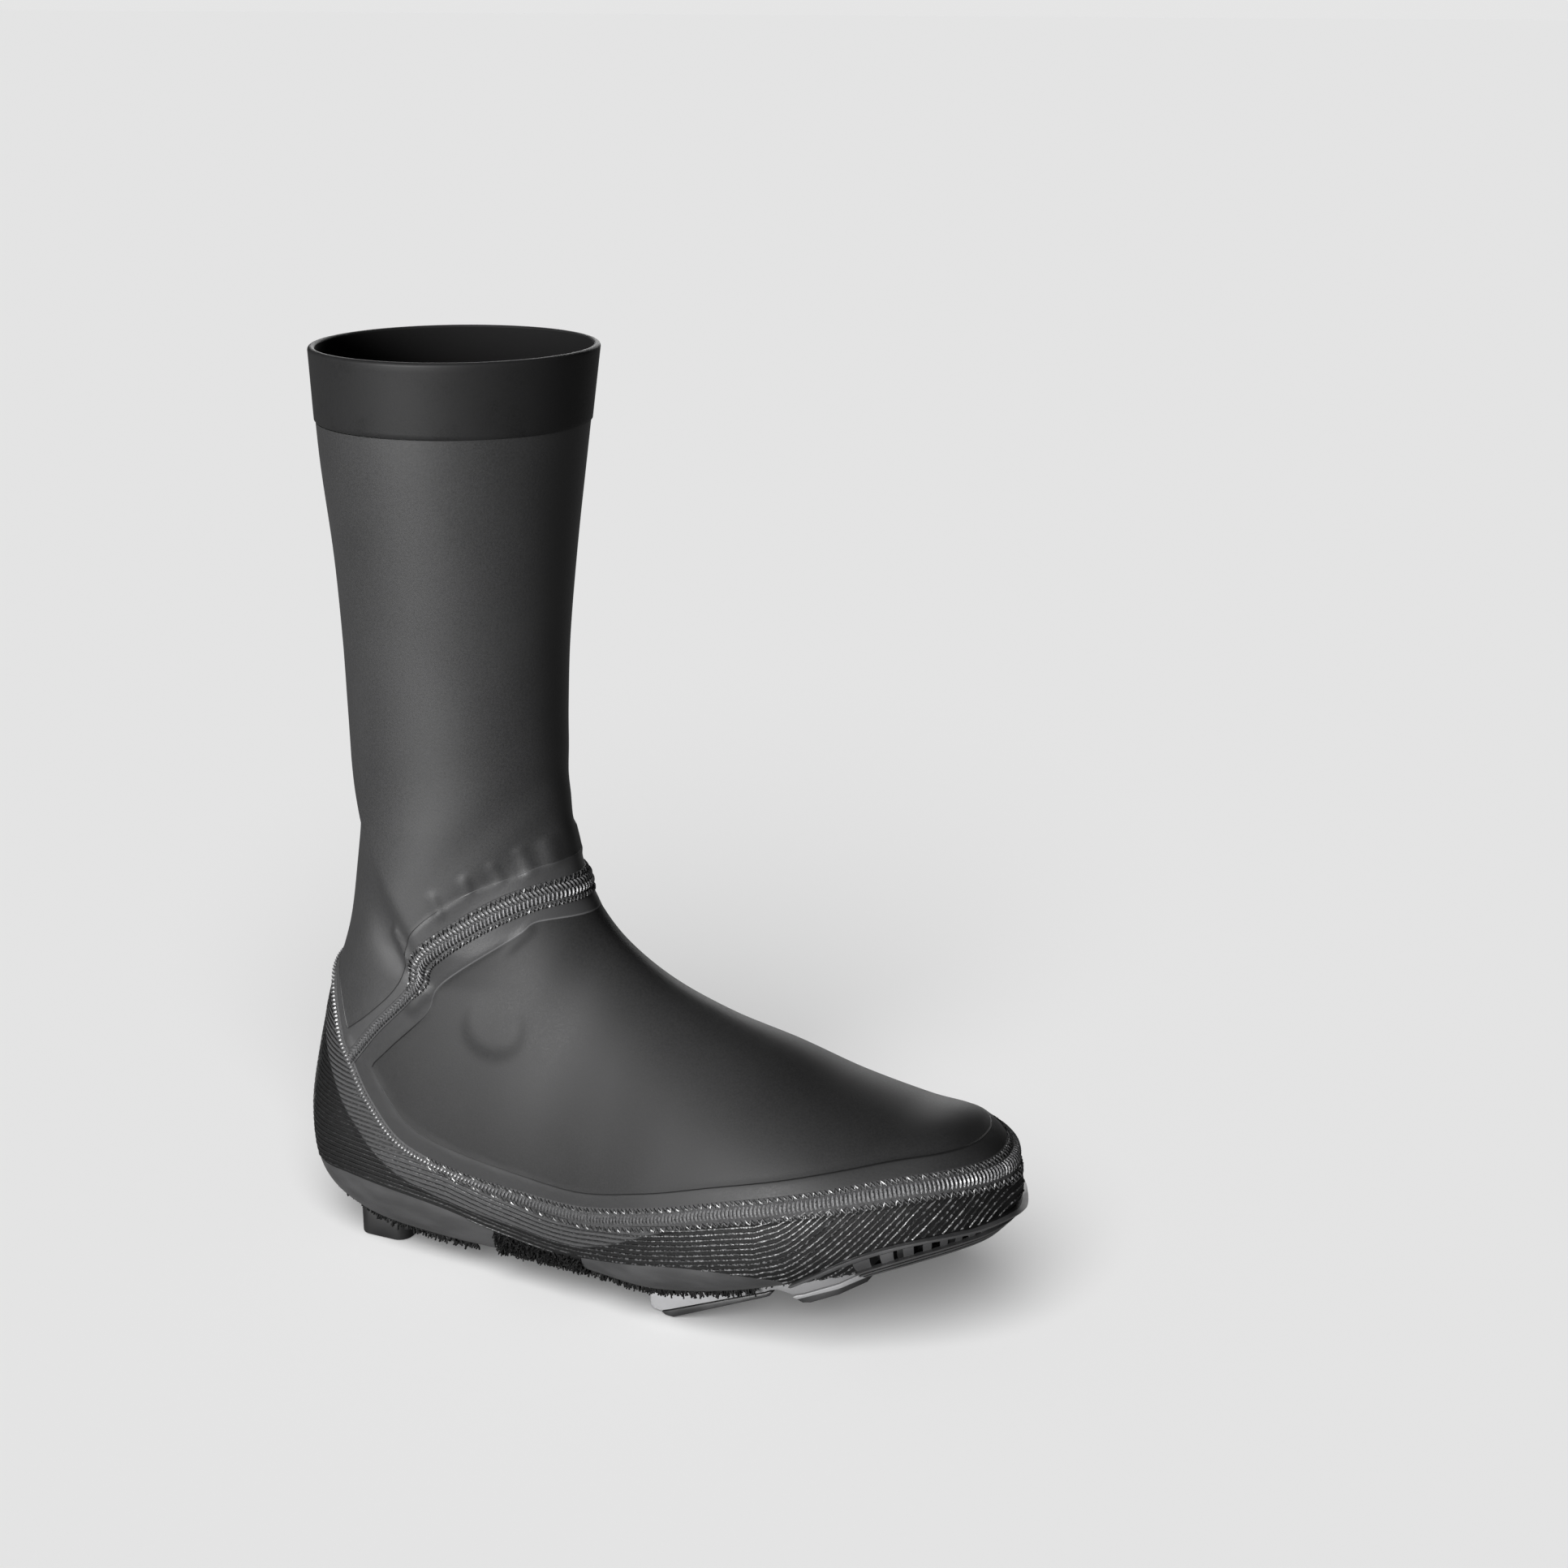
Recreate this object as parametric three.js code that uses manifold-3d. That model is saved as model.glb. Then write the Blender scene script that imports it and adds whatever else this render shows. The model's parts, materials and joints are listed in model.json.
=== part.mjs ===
// Cycling overshoe for the right foot: a stretch cloth boot drawn over a road shoe, with the shoe's
// sole parts that carry it and show through its openings.
// Millimetres. The tables below are written in the heel frame: +X to the toe, +Y to the inner side of the
// foot, +Z up, x = 0 near the back of the heel seat, z = 0 on the ground. HEEL_TO_ORIGIN moves the whole
// thing so that the origin is the bottom centre of its box.

import * as THREE from "three";
import { mergeVertices } from "three/addons/utils/BufferGeometryUtils.js";
import Module from "manifold-3d";

const wasm = await Module();
wasm.setup();

// Driving dimensions
const HEEL_TO_ORIGIN = { x: -136.1, y: 0, z: 0 };
const RIM_Z = 338; // top edge of the leg
const CUFF_HEIGHT = 26; // hem band at the top of the leg
const CUFF_PROUD = 0.5; // how far the doubled hem stands out from the leg
const WALL = 2.0; // thickness of the cloth panels
const GAP = 0.3; // air between neighbouring pieces
const SEAM_WIDTH = 9; // cover-stitched ridge over a seam
const SEAM_HEIGHT = 1.1; // thickness of that ridge
const CLEAT_HALF_WIDTH = 31; // cleat at its widest
const CLEAT_PAD_WIDTH = 12; // each rubber strip along the rear of the cleat
const RIM_BAND = 2.2; // height of the rim round the toe opening
const RIM_PROUD = 1.5; // how far that rim stands out
const TREAD_PROUD = 1; // how far the toe tread stands out
const LUG_COUNT = 9; // lugs between that rim and the toe tread
const LUG_WIDTH = 4;
const LUG_HUB = [244, 5]; // plan point that the lugs point to
const LUG_SPREAD = 224; // degrees from the first lug to the last
const SOLE_THICKNESS = 3.6;

// Mesh density
const AROUND = 24; // points round each section
const BLOCK = 90; // half width of the cutting blocks, wider than the boot

// Sections of the boot, from the toe round the instep to the top of the leg. Each lies in a plane across
// the boot, from its front (crest) point to its back (sole or heel) point. half is the half width, mid the
// middle's y, wide the height share of the widest level, top and sole the powers of the two half
// superellipses, and rings the rings made up to the next row.
const SHAPE_COLUMNS = ["frontX", "frontZ", "backX", "backZ", "half", "mid", "wide", "top", "sole"];
const SECTION_COLUMNS = ["at", ...SHAPE_COLUMNS, "rings"];
const SECTIONS = [
  ["toe point", 276, 62, 276, 54, 4, 6, 0.5, 2.0, 2.0, 1],
  ["toe tip", 272.5, 67, 272, 49, 12, 6, 0.5, 2.1, 2.2, 1],
  ["toe front", 265, 75, 266, 42, 22, 6, 0.46, 2.2, 2.6, 1],
  ["toe", 253, 82, 254, 37, 32, 5, 0.4, 2.2, 3.0, 2],
  ["toe box", 235, 84, 233, 31, 41, 3, 0.36, 2.1, 3.4, 2],
  ["ball front", 211, 91, 208, 24, 46, 0, 0.32, 2.0, 3.6, 2],
  ["ball", 188, 100, 183, 17, 47, -1, 0.28, 1.9, 4.0, 2],
  ["waist front", 164, 108, 155, 12, 45, -2, 0.25, 1.8, 4.4, 2],
  ["waist", 141, 117, 126, 11, 41, -1, 0.24, 1.8, 4.6, 2],
  ["instep", 123, 129, 96, 9, 38, 0, 0.25, 1.8, 5.0, 2],
  ["long heel", 112, 142, 62, 8, 37, 0, 0.27, 1.9, 5.0, 2],
  ["heel seat", 107, 155, 28, 10, 36, 0, 0.3, 1.9, 4.6, 2],
  ["heel round", 105, 164, 4, 19, 34, 0, 0.38, 2.0, 3.6, 2],
  ["heel back", 103, 172, -5, 40, 33, 0, 0.45, 2.0, 2.6, 1],
  ["heel cup", 102, 180, -3, 66, 33, 0, 0.5, 2.0, 2.1, 1],
  ["heel top", 101, 188, 5, 94, 33, 0, 0.5, 2.0, 2.1, 1],
  ["tendon", 101, 198, 15, 125, 33, 0, 0.5, 2.0, 2.0, 1],
  ["ankle", 101, 212, 20, 165, 33.5, 0, 0.5, 2.0, 2.0, 1],
  ["shin", 102, 236, 19, 212, 36, 0, 0.5, 2.0, 2.0, 1],
  ["low calf", 105, 268, 18, 260, 40.5, 0, 0.5, 2.0, 2.0, 1],
  ["calf", 109, 300, 15, 300, 45, 0, 0.5, 2.0, 2.0, 1],
  ["rim", 114, 338, 14, 338, 49, 0, 0.5, 2.0, 2.0, 1],
  ["past the rim", 116, 352, 13, 352, 50.5, 0, 0.5, 2.0, 2.0, 1],
].map((row) => Object.fromEntries(row.map((value, i) => [SECTION_COLUMNS[i], value])));

// What lifts the cloth on the outer side of the foot, each a round-topped swelling along a line in side view
const RELIEF = [
  { at: "shoe dial", from: [88, 97], to: [88, 97], reach: 12, height: 2.6 },
  { at: "ankle fold", from: [34, 160], to: [55, 121], reach: 7, height: 1.4 },
];

// Lines drawn on the side view, x and z; the inner side follows the same lines
const ANKLE_SEAM = [[140, 150], [111, 148], [96, 145], [79, 136], [61, 122], [56, 109], [39, 91], [27, 76]];
const HEEL_SEAM = [[-25, 112], [4, 110], [13, 106], [17, 96], [22, 84], [27, 76]];
const SIDE_SEAM = [[27, 76], [36, 61], [53, 46.5], [89, 38.8], [126, 37.5], [158, 45], [189, 54],
  [228, 63], [259, 67.5], [292, 64]];
const RIB_EDGE = [[-25, 28], [11, 29.5], [29, 30], [69, 26], [90, 21.5], [115, 20], [138, 23.5],
  [172, 30.5], [200, 32], [209, 28], [212, 4]];
const TOE_RIM = [[220, 35.5], [229, 41], [240, 46], [254, 49.5], [270, 50.5], [292, 50.5]];
const TREAD_TOP = [[235, 33.5], [242, 36.5], [256, 41], [270, 43.5], [292, 44]];
const ARCH = { rear: 89, front: 128 }; // where the two bottom bands stop and the arch patch lies
const LOW = -12; // below everything

// Openings under the foot and the parts that stand in them, in plan (x, y) or side view (x, z)
const HEEL_OPENING = { rear: 9, front: 80, half: 27, corner: 14, top: 24 };
const CLEAT_OPENING = { rear: 139, front: 230, half: 33.5, corner: 12, top: 44 };
const TOE_OPENING = 234;
const HEEL_PAD = { rear: 20, front: 41, half: 23, corner: 5, top: 24 };
const HEEL_PAD_STEP = { rear: 36, front: 47, half: 18, corner: 2, bottom: 8 };
const CLEAT_PROFILE = [[146.4, 40], [146.4, 9.5], [148, 5], [151, 1.4], [154.2, 1.2], [197.6, 19.2],
  [200.2, 19.4], [205, 17.6], [208.6, 18.6], [229, 27.8], [229, 45]];
const CLEAT_REAR_PAD = [[154.4, 0.9], [156, 0], [159.5, 0], [197.2, 16.9], [198.4, 18.4], [197.6, 18.8]];
const CLEAT_FRONT_PAD = [[204.6, 16.6], [208.2, 14.8], [211, 15.2], [229, 23.2], [229, 27.4], [208.8, 18.2],
  [206, 17.4]];
const CLEAT_HALF_PLAN = [[229.5, 17], [221, 24], [206, 27], [196, 31], [158, 31], [150, 30], [145, 24]];
const CLEAT_SLOPE = THREE.MathUtils.degToRad(23.6);
const BOLT = { radius: 4.5, pocket: 6.2, height: 2.6, depth: 1 };
const BOLT_PLACES = [[165, -12, 5.7], [165, 12, 5.7], [213, 0, 18]];
// Top of the sole plate where it thickens under the toe, x and z
const TOE_BLOCK = [[228, 42], [240, 50], [256, 53.5], [270, 54]];

// Solids from closed geometry

function solidOf(geometry) {
  const bare = new THREE.BufferGeometry();
  bare.setAttribute("position", geometry.getAttribute("position").clone());
  if (geometry.index) bare.setIndex(geometry.index.clone());
  const merged = mergeVertices(bare, 1e-4);
  return new wasm.Manifold(new wasm.Mesh({
    numProp: 3,
    vertProperties: new Float32Array(merged.getAttribute("position").array),
    triVerts: new Uint32Array(merged.index.array),
  }));
}

function geometryOf(solid) {
  const mesh = solid.getMesh();
  const geometry = new THREE.BufferGeometry();
  geometry.setAttribute("position", new THREE.BufferAttribute(new Float32Array(mesh.vertProperties), 3));
  geometry.setIndex(new THREE.BufferAttribute(new Uint32Array(mesh.triVerts), 1));
  geometry.computeVertexNormals();
  return geometry;
}

// A side-view outline pushed through the whole width of the boot, or between two values of y
function sideBlock(points, y0 = -BLOCK, y1 = BLOCK) {
  const shape = new THREE.Shape(points.map(([x, z]) => new THREE.Vector2(x, z)));
  const geometry = new THREE.ExtrudeGeometry(shape, { depth: y1 - y0, bevelEnabled: false });
  geometry.rotateX(Math.PI / 2);
  geometry.translate(0, y1, 0);
  return solidOf(geometry);
}

// A plan outline raised between two levels
function planBlock(shape, z0, z1) {
  const options = { depth: z1 - z0, bevelEnabled: false, curveSegments: 3 };
  const geometry = new THREE.ExtrudeGeometry(shape, options);
  geometry.translate(0, 0, z0);
  return solidOf(geometry);
}

function roundedRectangle({ rear, front, half, corner }) {
  const shape = new THREE.Shape();
  shape.moveTo(rear + corner, -half);
  shape.lineTo(front - corner, -half);
  shape.absarc(front - corner, -half + corner, corner, -Math.PI / 2, 0);
  shape.absarc(front - corner, half - corner, corner, 0, Math.PI / 2);
  shape.absarc(rear + corner, half - corner, corner, Math.PI / 2, Math.PI);
  shape.absarc(rear + corner, -half + corner, corner, Math.PI, 1.5 * Math.PI);
  return shape;
}

// Lines in side view

function smoothLine(points, stepsPerPoint = 2) {
  const curve = new THREE.SplineCurve(points.map(([x, z]) => new THREE.Vector2(x, z)));
  return curve.getPoints(stepsPerPoint * (points.length - 1)).map((p) => [p.x, p.y]);
}

// The line moved sideways: positive to the left of its direction of travel
function besideLine(line, distance) {
  return line.map(([x, z], i) => {
    const [x0, z0] = line[Math.max(i - 1, 0)];
    const [x1, z1] = line[Math.min(i + 1, line.length - 1)];
    const length = Math.hypot(x1 - x0, z1 - z0);
    return [x - (distance * (z1 - z0)) / length, z + (distance * (x1 - x0)) / length];
  });
}

function ribbon(line, left, right) {
  return [...besideLine(line, left), ...besideLine(line, -right).reverse()];
}

const ankleSeam = smoothLine(ANKLE_SEAM);
const sideSeam = smoothLine([...HEEL_SEAM.slice(0, -1), ...SIDE_SEAM]);
const ribEdge = smoothLine(RIB_EDGE, 1);
const toeRim = smoothLine(TOE_RIM);
const treadTop = smoothLine(TREAD_TOP, 1);
const junction = sideSeam.findIndex(([x, z]) => x >= SIDE_SEAM[0][0] && z <= SIDE_SEAM[0][1] + 0.01);

// The boot form

function rowValues(row) {
  return SHAPE_COLUMNS.map((column) => row[column]);
}

// Rows between the rows of the table, on cubic curves through all of them
function sectionRows() {
  const rows = SECTIONS.map(rowValues);
  const smooth = [];
  for (let i = 0; i < rows.length - 1; i += 1) {
    const [p1, p2] = [rows[i], rows[i + 1]];
    const p0 = rows[Math.max(i - 1, 0)];
    const p3 = rows[Math.min(i + 2, rows.length - 1)];
    for (let k = 0; k < SECTIONS[i].rings; k += 1) {
      const t = k / SECTIONS[i].rings;
      smooth.push(p1.map((value, j) => 0.5 * (2 * value + (p2[j] - p0[j]) * t
        + (2 * p0[j] - 5 * value + 4 * p2[j] - p3[j]) * t * t
        + (3 * value - p0[j] - 3 * p2[j] + p3[j]) * t * t * t)));
    }
  }
  smooth.push(rows[rows.length - 1]);
  return smooth;
}

function signedPower(value, power) {
  return Math.sign(value) * Math.abs(value) ** power;
}

// One closed section: two half superellipses that meet at the widest level
function ring([frontX, frontZ, backX, backZ, half, mid, wide, top, sole]) {
  const height = Math.hypot(frontX - backX, frontZ - backZ);
  const up = new THREE.Vector3((frontX - backX) / height, 0, (frontZ - backZ) / height);
  const centre = new THREE.Vector3(backX, mid, backZ).addScaledVector(up, height * wide);
  const points = [];
  for (let i = 0; i < AROUND; i += 1) {
    const angle = (2 * Math.PI * i) / AROUND;
    const upper = Math.cos(angle) >= 0;
    const power = 2 / (upper ? top : sole);
    const rise = signedPower(Math.cos(angle), power) * height * (upper ? 1 - wide : wide);
    const point = centre.clone().addScaledVector(up, rise);
    point.y -= half * signedPower(Math.sin(angle), power);
    points.push(point);
  }
  return points;
}

function gridNormals(grid) {
  return grid.map((points, i) => points.map((point, j) => {
    const before = grid[Math.max(i - 1, 0)][j];
    const after = grid[Math.min(i + 1, grid.length - 1)][j];
    const left = points[(j + AROUND - 1) % AROUND];
    const right = points[(j + 1) % AROUND];
    return after.clone().sub(before).cross(right.clone().sub(left)).normalize();
  }));
}

function reliefAt(point, normal) {
  const place = new THREE.Vector2(point.x, point.z);
  const outerSide = Math.max(0, -normal.y);
  return RELIEF.reduce((sum, { from, to, reach, height }) => {
    const start = new THREE.Vector2(...from);
    const along = new THREE.Vector2(...to).sub(start);
    const share = THREE.MathUtils.clamp(place.clone().sub(start).dot(along) / (along.lengthSq() || 1), 0, 1);
    const distance = place.distanceTo(start.addScaledVector(along, share)) / reach;
    return sum + outerSide * height * Math.max(0, 1 - distance ** 2) ** 2;
  }, 0);
}

const baseGrid = sectionRows().map(ring);
const baseNormals = gridNormals(baseGrid);

// The closed boot form, grown by a distance all over
function form(offset) {
  const grid = baseGrid.map((points, i) => points.map((point, j) => {
    const normal = baseNormals[i][j];
    return point.clone().addScaledVector(normal, offset + reliefAt(point, normal));
  }));
  const positions = grid.flat().flatMap((point) => point.toArray());
  const index = [];
  for (let i = 0; i < grid.length - 1; i += 1) {
    for (let j = 0; j < AROUND; j += 1) {
      const next = (j + 1) % AROUND;
      const [a, b, c, d] = [i * AROUND + j, i * AROUND + next, (i + 1) * AROUND + next, (i + 1) * AROUND + j];
      index.push(a, c, b, a, d, c);
    }
  }
  [0, grid.length - 1].forEach((i, end) => {
    const centre = grid[i].reduce((sum, point) => sum.add(point), new THREE.Vector3()).divideScalar(AROUND);
    const hub = positions.length / 3;
    positions.push(...centre.toArray());
    for (let j = 0; j < AROUND; j += 1) {
      const [a, b] = [i * AROUND + j, i * AROUND + ((j + 1) % AROUND)];
      index.push(...(end === 0 ? [hub, a, b] : [hub, b, a]));
    }
  });
  const geometry = new THREE.BufferGeometry();
  geometry.setAttribute("position", new THREE.Float32BufferAttribute(positions, 3));
  geometry.setIndex(index);
  return solidOf(geometry);
}

function shell(outside, inside) {
  return form(outside).subtract(form(inside));
}

// Cloth panels, all cut from one wall along the seam lines

const LEFT = -40;
const RIGHT = 300;
const toJunction = sideSeam.slice(0, junction + 1);
const fromJunction = sideSeam.slice(junction);
const heelOpening = planBlock(roundedRectangle(HEEL_OPENING), LOW, HEEL_OPENING.top);
const cleatOpening = planBlock(roundedRectangle(CLEAT_OPENING), LOW, CLEAT_OPENING.top);
const rimOverOpening = toeRim.filter(([x]) => x > TOE_OPENING);
const toeOpening = sideBlock([[TOE_OPENING, LOW], ...rimOverOpening, [RIGHT, LOW]]);
const rimSlot = sideBlock(ribbon(toeRim, RIM_BAND / 2 + GAP, RIM_BAND / 2));
const cutLines = [ankleSeam, sideSeam, ribEdge].map((line) => sideBlock(ribbon(line, GAP / 2, GAP / 2)));
const archCuts = [ARCH.rear, ARCH.front].map((x) => sideBlock([
  [x - GAP / 2, LOW], [x + GAP / 2, LOW], [x + GAP / 2, 24], [x - GAP / 2, 24]]));
const cloth = [heelOpening, cleatOpening, toeOpening, rimSlot, ...cutLines]
  .reduce((solid, cutter) => solid.subtract(cutter), shell(0, -WALL));

const belowRibs = sideBlock([[LEFT, LOW], ...ribEdge.slice(0, -1), [ribEdge.at(-1)[0], LOW]]);
const heelPeakZ = HEEL_SEAM[0][1];
const toeSeamZ = SIDE_SEAM.at(-1)[1];
const [seamFrontX, seamFrontZ] = ANKLE_SEAM[0];

function legTube() {
  const hemZ = RIM_Z - CUFF_HEIGHT - GAP;
  const lowerEdge = [...ankleSeam, ...toJunction.slice(0, -1).reverse(), [LEFT, heelPeakZ]];
  return cloth.intersect(sideBlock([...lowerEdge, [LEFT, hemZ], [seamFrontX, hemZ]]));
}

function cuffBand() {
  const hoop = [[LEFT, RIM_Z - CUFF_HEIGHT], [RIGHT, RIM_Z - CUFF_HEIGHT], [RIGHT, RIM_Z], [LEFT, RIM_Z]];
  return shell(CUFF_PROUD, -WALL).intersect(sideBlock(hoop));
}

function footUpper() {
  const edges = [...ankleSeam, ...fromJunction.slice(1), [RIGHT, toeSeamZ], [RIGHT, seamFrontZ]];
  return cloth.intersect(sideBlock(edges));
}

function rand() {
  const below = sideBlock([...sideSeam, [RIGHT, toeSeamZ], [RIGHT, LOW], [LEFT, LOW], [LEFT, heelPeakZ]]);
  return cloth.intersect(below).subtract(belowRibs);
}

function bottomBand(x0, x1) {
  const slice = sideBlock([[x0, LOW], [x1, LOW], [x1, 60], [x0, 60]]);
  const band = cloth.intersect(belowRibs).intersect(slice);
  return archCuts.reduce((solid, cutter) => solid.subtract(cutter), band);
}

// Seams

function seamRidge(line) {
  return shell(GAP + SEAM_HEIGHT, GAP).intersect(sideBlock(ribbon(line, SEAM_WIDTH / 2, SEAM_WIDTH / 2)));
}

function ankleRidge() {
  const clearOfSideSeam = sideBlock(ribbon(sideSeam, SEAM_WIDTH / 2 + GAP, SEAM_WIDTH));
  return seamRidge(ankleSeam).subtract(clearOfSideSeam);
}

// The shoe's sole, which carries the boot and shows through its openings

function solePlate() {
  const names = SECTIONS.map(({ at }) => at);
  const rows = SECTIONS.slice(names.indexOf("ball front"), names.indexOf("heel back"));
  const topLine = rows.map(({ frontX, frontZ, backX, backZ }) => {
    const height = Math.hypot(frontX - backX, frontZ - backZ);
    const lift = WALL + GAP + SOLE_THICKNESS;
    return [backX + (lift * (frontX - backX)) / height, backZ + (lift * (frontZ - backZ)) / height];
  }).reverse();
  const heelEnd = topLine[0];
  const outline = [[heelEnd[0], LOW], ...topLine, ...TOE_BLOCK, [TOE_BLOCK.at(-1)[0], LOW]];
  return form(-WALL - GAP).intersect(sideBlock(outline));
}

function heelPad() {
  const block = planBlock(roundedRectangle(HEEL_PAD), 0, HEEL_PAD.top);
  const step = planBlock(roundedRectangle(HEEL_PAD_STEP), HEEL_PAD_STEP.bottom, HEEL_PAD.top);
  return block.add(step).subtract(form(-WALL));
}

const cleatPlan = new THREE.Shape([
  ...CLEAT_HALF_PLAN.map(([x, y]) => new THREE.Vector2(x, y)),
  ...CLEAT_HALF_PLAN.map(([x, y]) => new THREE.Vector2(x, -y)).reverse(),
]);

function cleatPiece(profile, y0 = -CLEAT_HALF_WIDTH, y1 = CLEAT_HALF_WIDTH) {
  return sideBlock(profile, y0, y1).intersect(planBlock(cleatPlan, LOW, BLOCK)).subtract(form(-WALL));
}

// A bolt head or its pocket, square to the sloping underside of the cleat
function boltCylinder(radius, [x, y, z], from, to) {
  const geometry = new THREE.CylinderGeometry(radius, radius, to - from, 12);
  geometry.rotateX(Math.PI / 2);
  geometry.translate(0, 0, (from + to) / 2);
  geometry.rotateY(-CLEAT_SLOPE);
  geometry.translate(x, y, z);
  return solidOf(geometry);
}

function withPockets(solid) {
  const depth = BOLT.depth + BOLT.height + GAP;
  const pockets = BOLT_PLACES.map((place) => boltCylinder(BOLT.pocket, place, LOW, depth));
  return pockets.reduce((rest, pocket) => rest.subtract(pocket), solid);
}

function toeRimBand() {
  return shell(RIM_PROUD, -WALL).intersect(sideBlock(ribbon(toeRim, RIM_BAND / 2, RIM_BAND / 2 - GAP)));
}

// A shallow tray under the toe with lugs standing on its edge
function toeTread() {
  const start = TOE_OPENING + GAP;
  const underRim = besideLine(rimOverOpening, -RIM_BAND / 2 - GAP).filter(([x]) => x > start);
  const wall = shell(TREAD_PROUD, -WALL).intersect(sideBlock([[start, LOW], ...underRim, [RIGHT, LOW]]));
  const tray = wall.intersect(sideBlock([[start, LOW], ...treadTop, [RIGHT, LOW]]));
  const reach = RIGHT - LUG_HUB[0];
  const lugs = Array.from({ length: LUG_COUNT }, (_, i) => {
    const bar = new THREE.BoxGeometry(reach, LUG_WIDTH, BLOCK);
    bar.translate(reach / 2 + RIM_BAND, 0, 0);
    bar.rotateZ(THREE.MathUtils.degToRad(LUG_SPREAD * (i / (LUG_COUNT - 1) - 0.5)));
    bar.translate(...LUG_HUB, BLOCK / 2 + treadTop[0][1] - SOLE_THICKNESS);
    return wall.intersect(solidOf(bar));
  });
  return lugs.reduce((solid, lug) => solid.add(lug), tray);
}

// Assembly

const finishes = {
  leg: { color: 0x3a3b3d, roughness: 0.72, metalness: 0 },
  ribbed: { color: 0x161617, roughness: 0.45, metalness: 0 },
  band: { color: 0x6b6c6e, roughness: 0.5, metalness: 0 },
  fleece: { color: 0x0d0d0e, roughness: 1, metalness: 0 },
  stitch: { color: 0x2a2b2d, roughness: 0.6, metalness: 0 },
  plate: { color: 0x1c1c1e, roughness: 0.35, metalness: 0 },
  rubber: { color: 0x202021, roughness: 0.8, metalness: 0 },
  cleat: { color: 0xb4b5b7, roughness: 0.45, metalness: 0 },
  steel: { color: 0x9a9b9d, roughness: 0.3, metalness: 1 },
};

const overshoe = new THREE.Group();
overshoe.position.set(HEEL_TO_ORIGIN.x, HEEL_TO_ORIGIN.y, HEEL_TO_ORIGIN.z);

function piece(name, solid, finish) {
  const mesh = new THREE.Mesh(geometryOf(solid), new THREE.MeshStandardMaterial(finishes[finish]));
  mesh.name = name;
  overshoe.add(mesh);
}

piece("cuff_band", cuffBand(), "leg");
piece("leg_tube", legTube(), "leg");
piece("foot_upper", footUpper(), "leg");
piece("ribbed_rand", rand(), "ribbed");
piece("heel_band", bottomBand(LEFT, ARCH.rear), "band");
piece("arch_patch", bottomBand(ARCH.rear, ARCH.front), "fleece");
piece("forefoot_band", bottomBand(ARCH.front, 216), "band");
piece("ankle_seam", ankleRidge(), "stitch");
piece("side_seam", seamRidge(sideSeam), "stitch");
piece("toe_rim", toeRimBand(), "rubber");
piece("toe_tread", toeTread(), "rubber");
piece("sole_plate", solePlate(), "plate");
piece("heel_pad", heelPad(), "rubber");

piece("cleat_body", withPockets(cleatPiece(CLEAT_PROFILE)), "cleat");
const padInside = CLEAT_HALF_WIDTH - CLEAT_PAD_WIDTH;
piece("cleat_rear_pad_outer", cleatPiece(CLEAT_REAR_PAD, -CLEAT_HALF_WIDTH, -padInside), "rubber");
piece("cleat_rear_pad_inner", cleatPiece(CLEAT_REAR_PAD, padInside, CLEAT_HALF_WIDTH), "rubber");
piece("cleat_front_pad", withPockets(cleatPiece(CLEAT_FRONT_PAD)), "rubber");
BOLT_PLACES.forEach((place, i) => {
  const head = boltCylinder(BOLT.radius, place, BOLT.depth, BOLT.depth + BOLT.height);
  piece(`cleat_bolt_${i + 1}`, head, "steel");
});

export default overshoe;
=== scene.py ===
"""Looks of a cycling overshoe drawn over the sole of a road shoe.

The boot's form, seam lines and openings are written in millimetres in the heel frame: x towards the toe
from the back of the heel, y towards the inner side of the foot, z up from the ground. Every finished mesh
is then put into the part's own frame, in metres.
"""

from __future__ import annotations

import json
import logging
import math
import random
from collections.abc import Iterator
from contextlib import contextmanager
from dataclasses import dataclass, field
from enum import Enum

import bmesh
import bpy
import numpy as np
from mathutils import Matrix, Vector
from mathutils.bvhtree import BVHTree

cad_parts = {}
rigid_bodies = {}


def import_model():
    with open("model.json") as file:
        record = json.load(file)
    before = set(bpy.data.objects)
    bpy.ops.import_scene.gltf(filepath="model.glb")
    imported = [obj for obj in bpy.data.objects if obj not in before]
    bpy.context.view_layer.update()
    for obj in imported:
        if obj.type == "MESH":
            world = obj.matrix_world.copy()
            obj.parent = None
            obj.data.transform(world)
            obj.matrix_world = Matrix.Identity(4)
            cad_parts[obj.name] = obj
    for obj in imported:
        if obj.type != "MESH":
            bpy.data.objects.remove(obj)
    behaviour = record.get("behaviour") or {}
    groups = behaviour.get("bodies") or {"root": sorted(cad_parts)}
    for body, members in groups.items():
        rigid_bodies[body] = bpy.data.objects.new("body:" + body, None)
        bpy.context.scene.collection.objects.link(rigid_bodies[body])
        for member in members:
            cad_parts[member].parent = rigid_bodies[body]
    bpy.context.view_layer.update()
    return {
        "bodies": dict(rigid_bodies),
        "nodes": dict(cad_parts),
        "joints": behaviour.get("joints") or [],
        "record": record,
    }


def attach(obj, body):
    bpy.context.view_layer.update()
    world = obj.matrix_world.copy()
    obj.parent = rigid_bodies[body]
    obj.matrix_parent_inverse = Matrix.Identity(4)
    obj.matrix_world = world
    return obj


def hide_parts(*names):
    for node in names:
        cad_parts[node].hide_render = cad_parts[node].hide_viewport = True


LOG = logging.getLogger("overshoe")

Piece = bpy.types.Object
Socket = bpy.types.NodeSocket

MM = 0.001
HEEL_TO_ORIGIN = (-136.1, 0.0, 0.0)
BODY = "root"
SEED = 7

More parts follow.
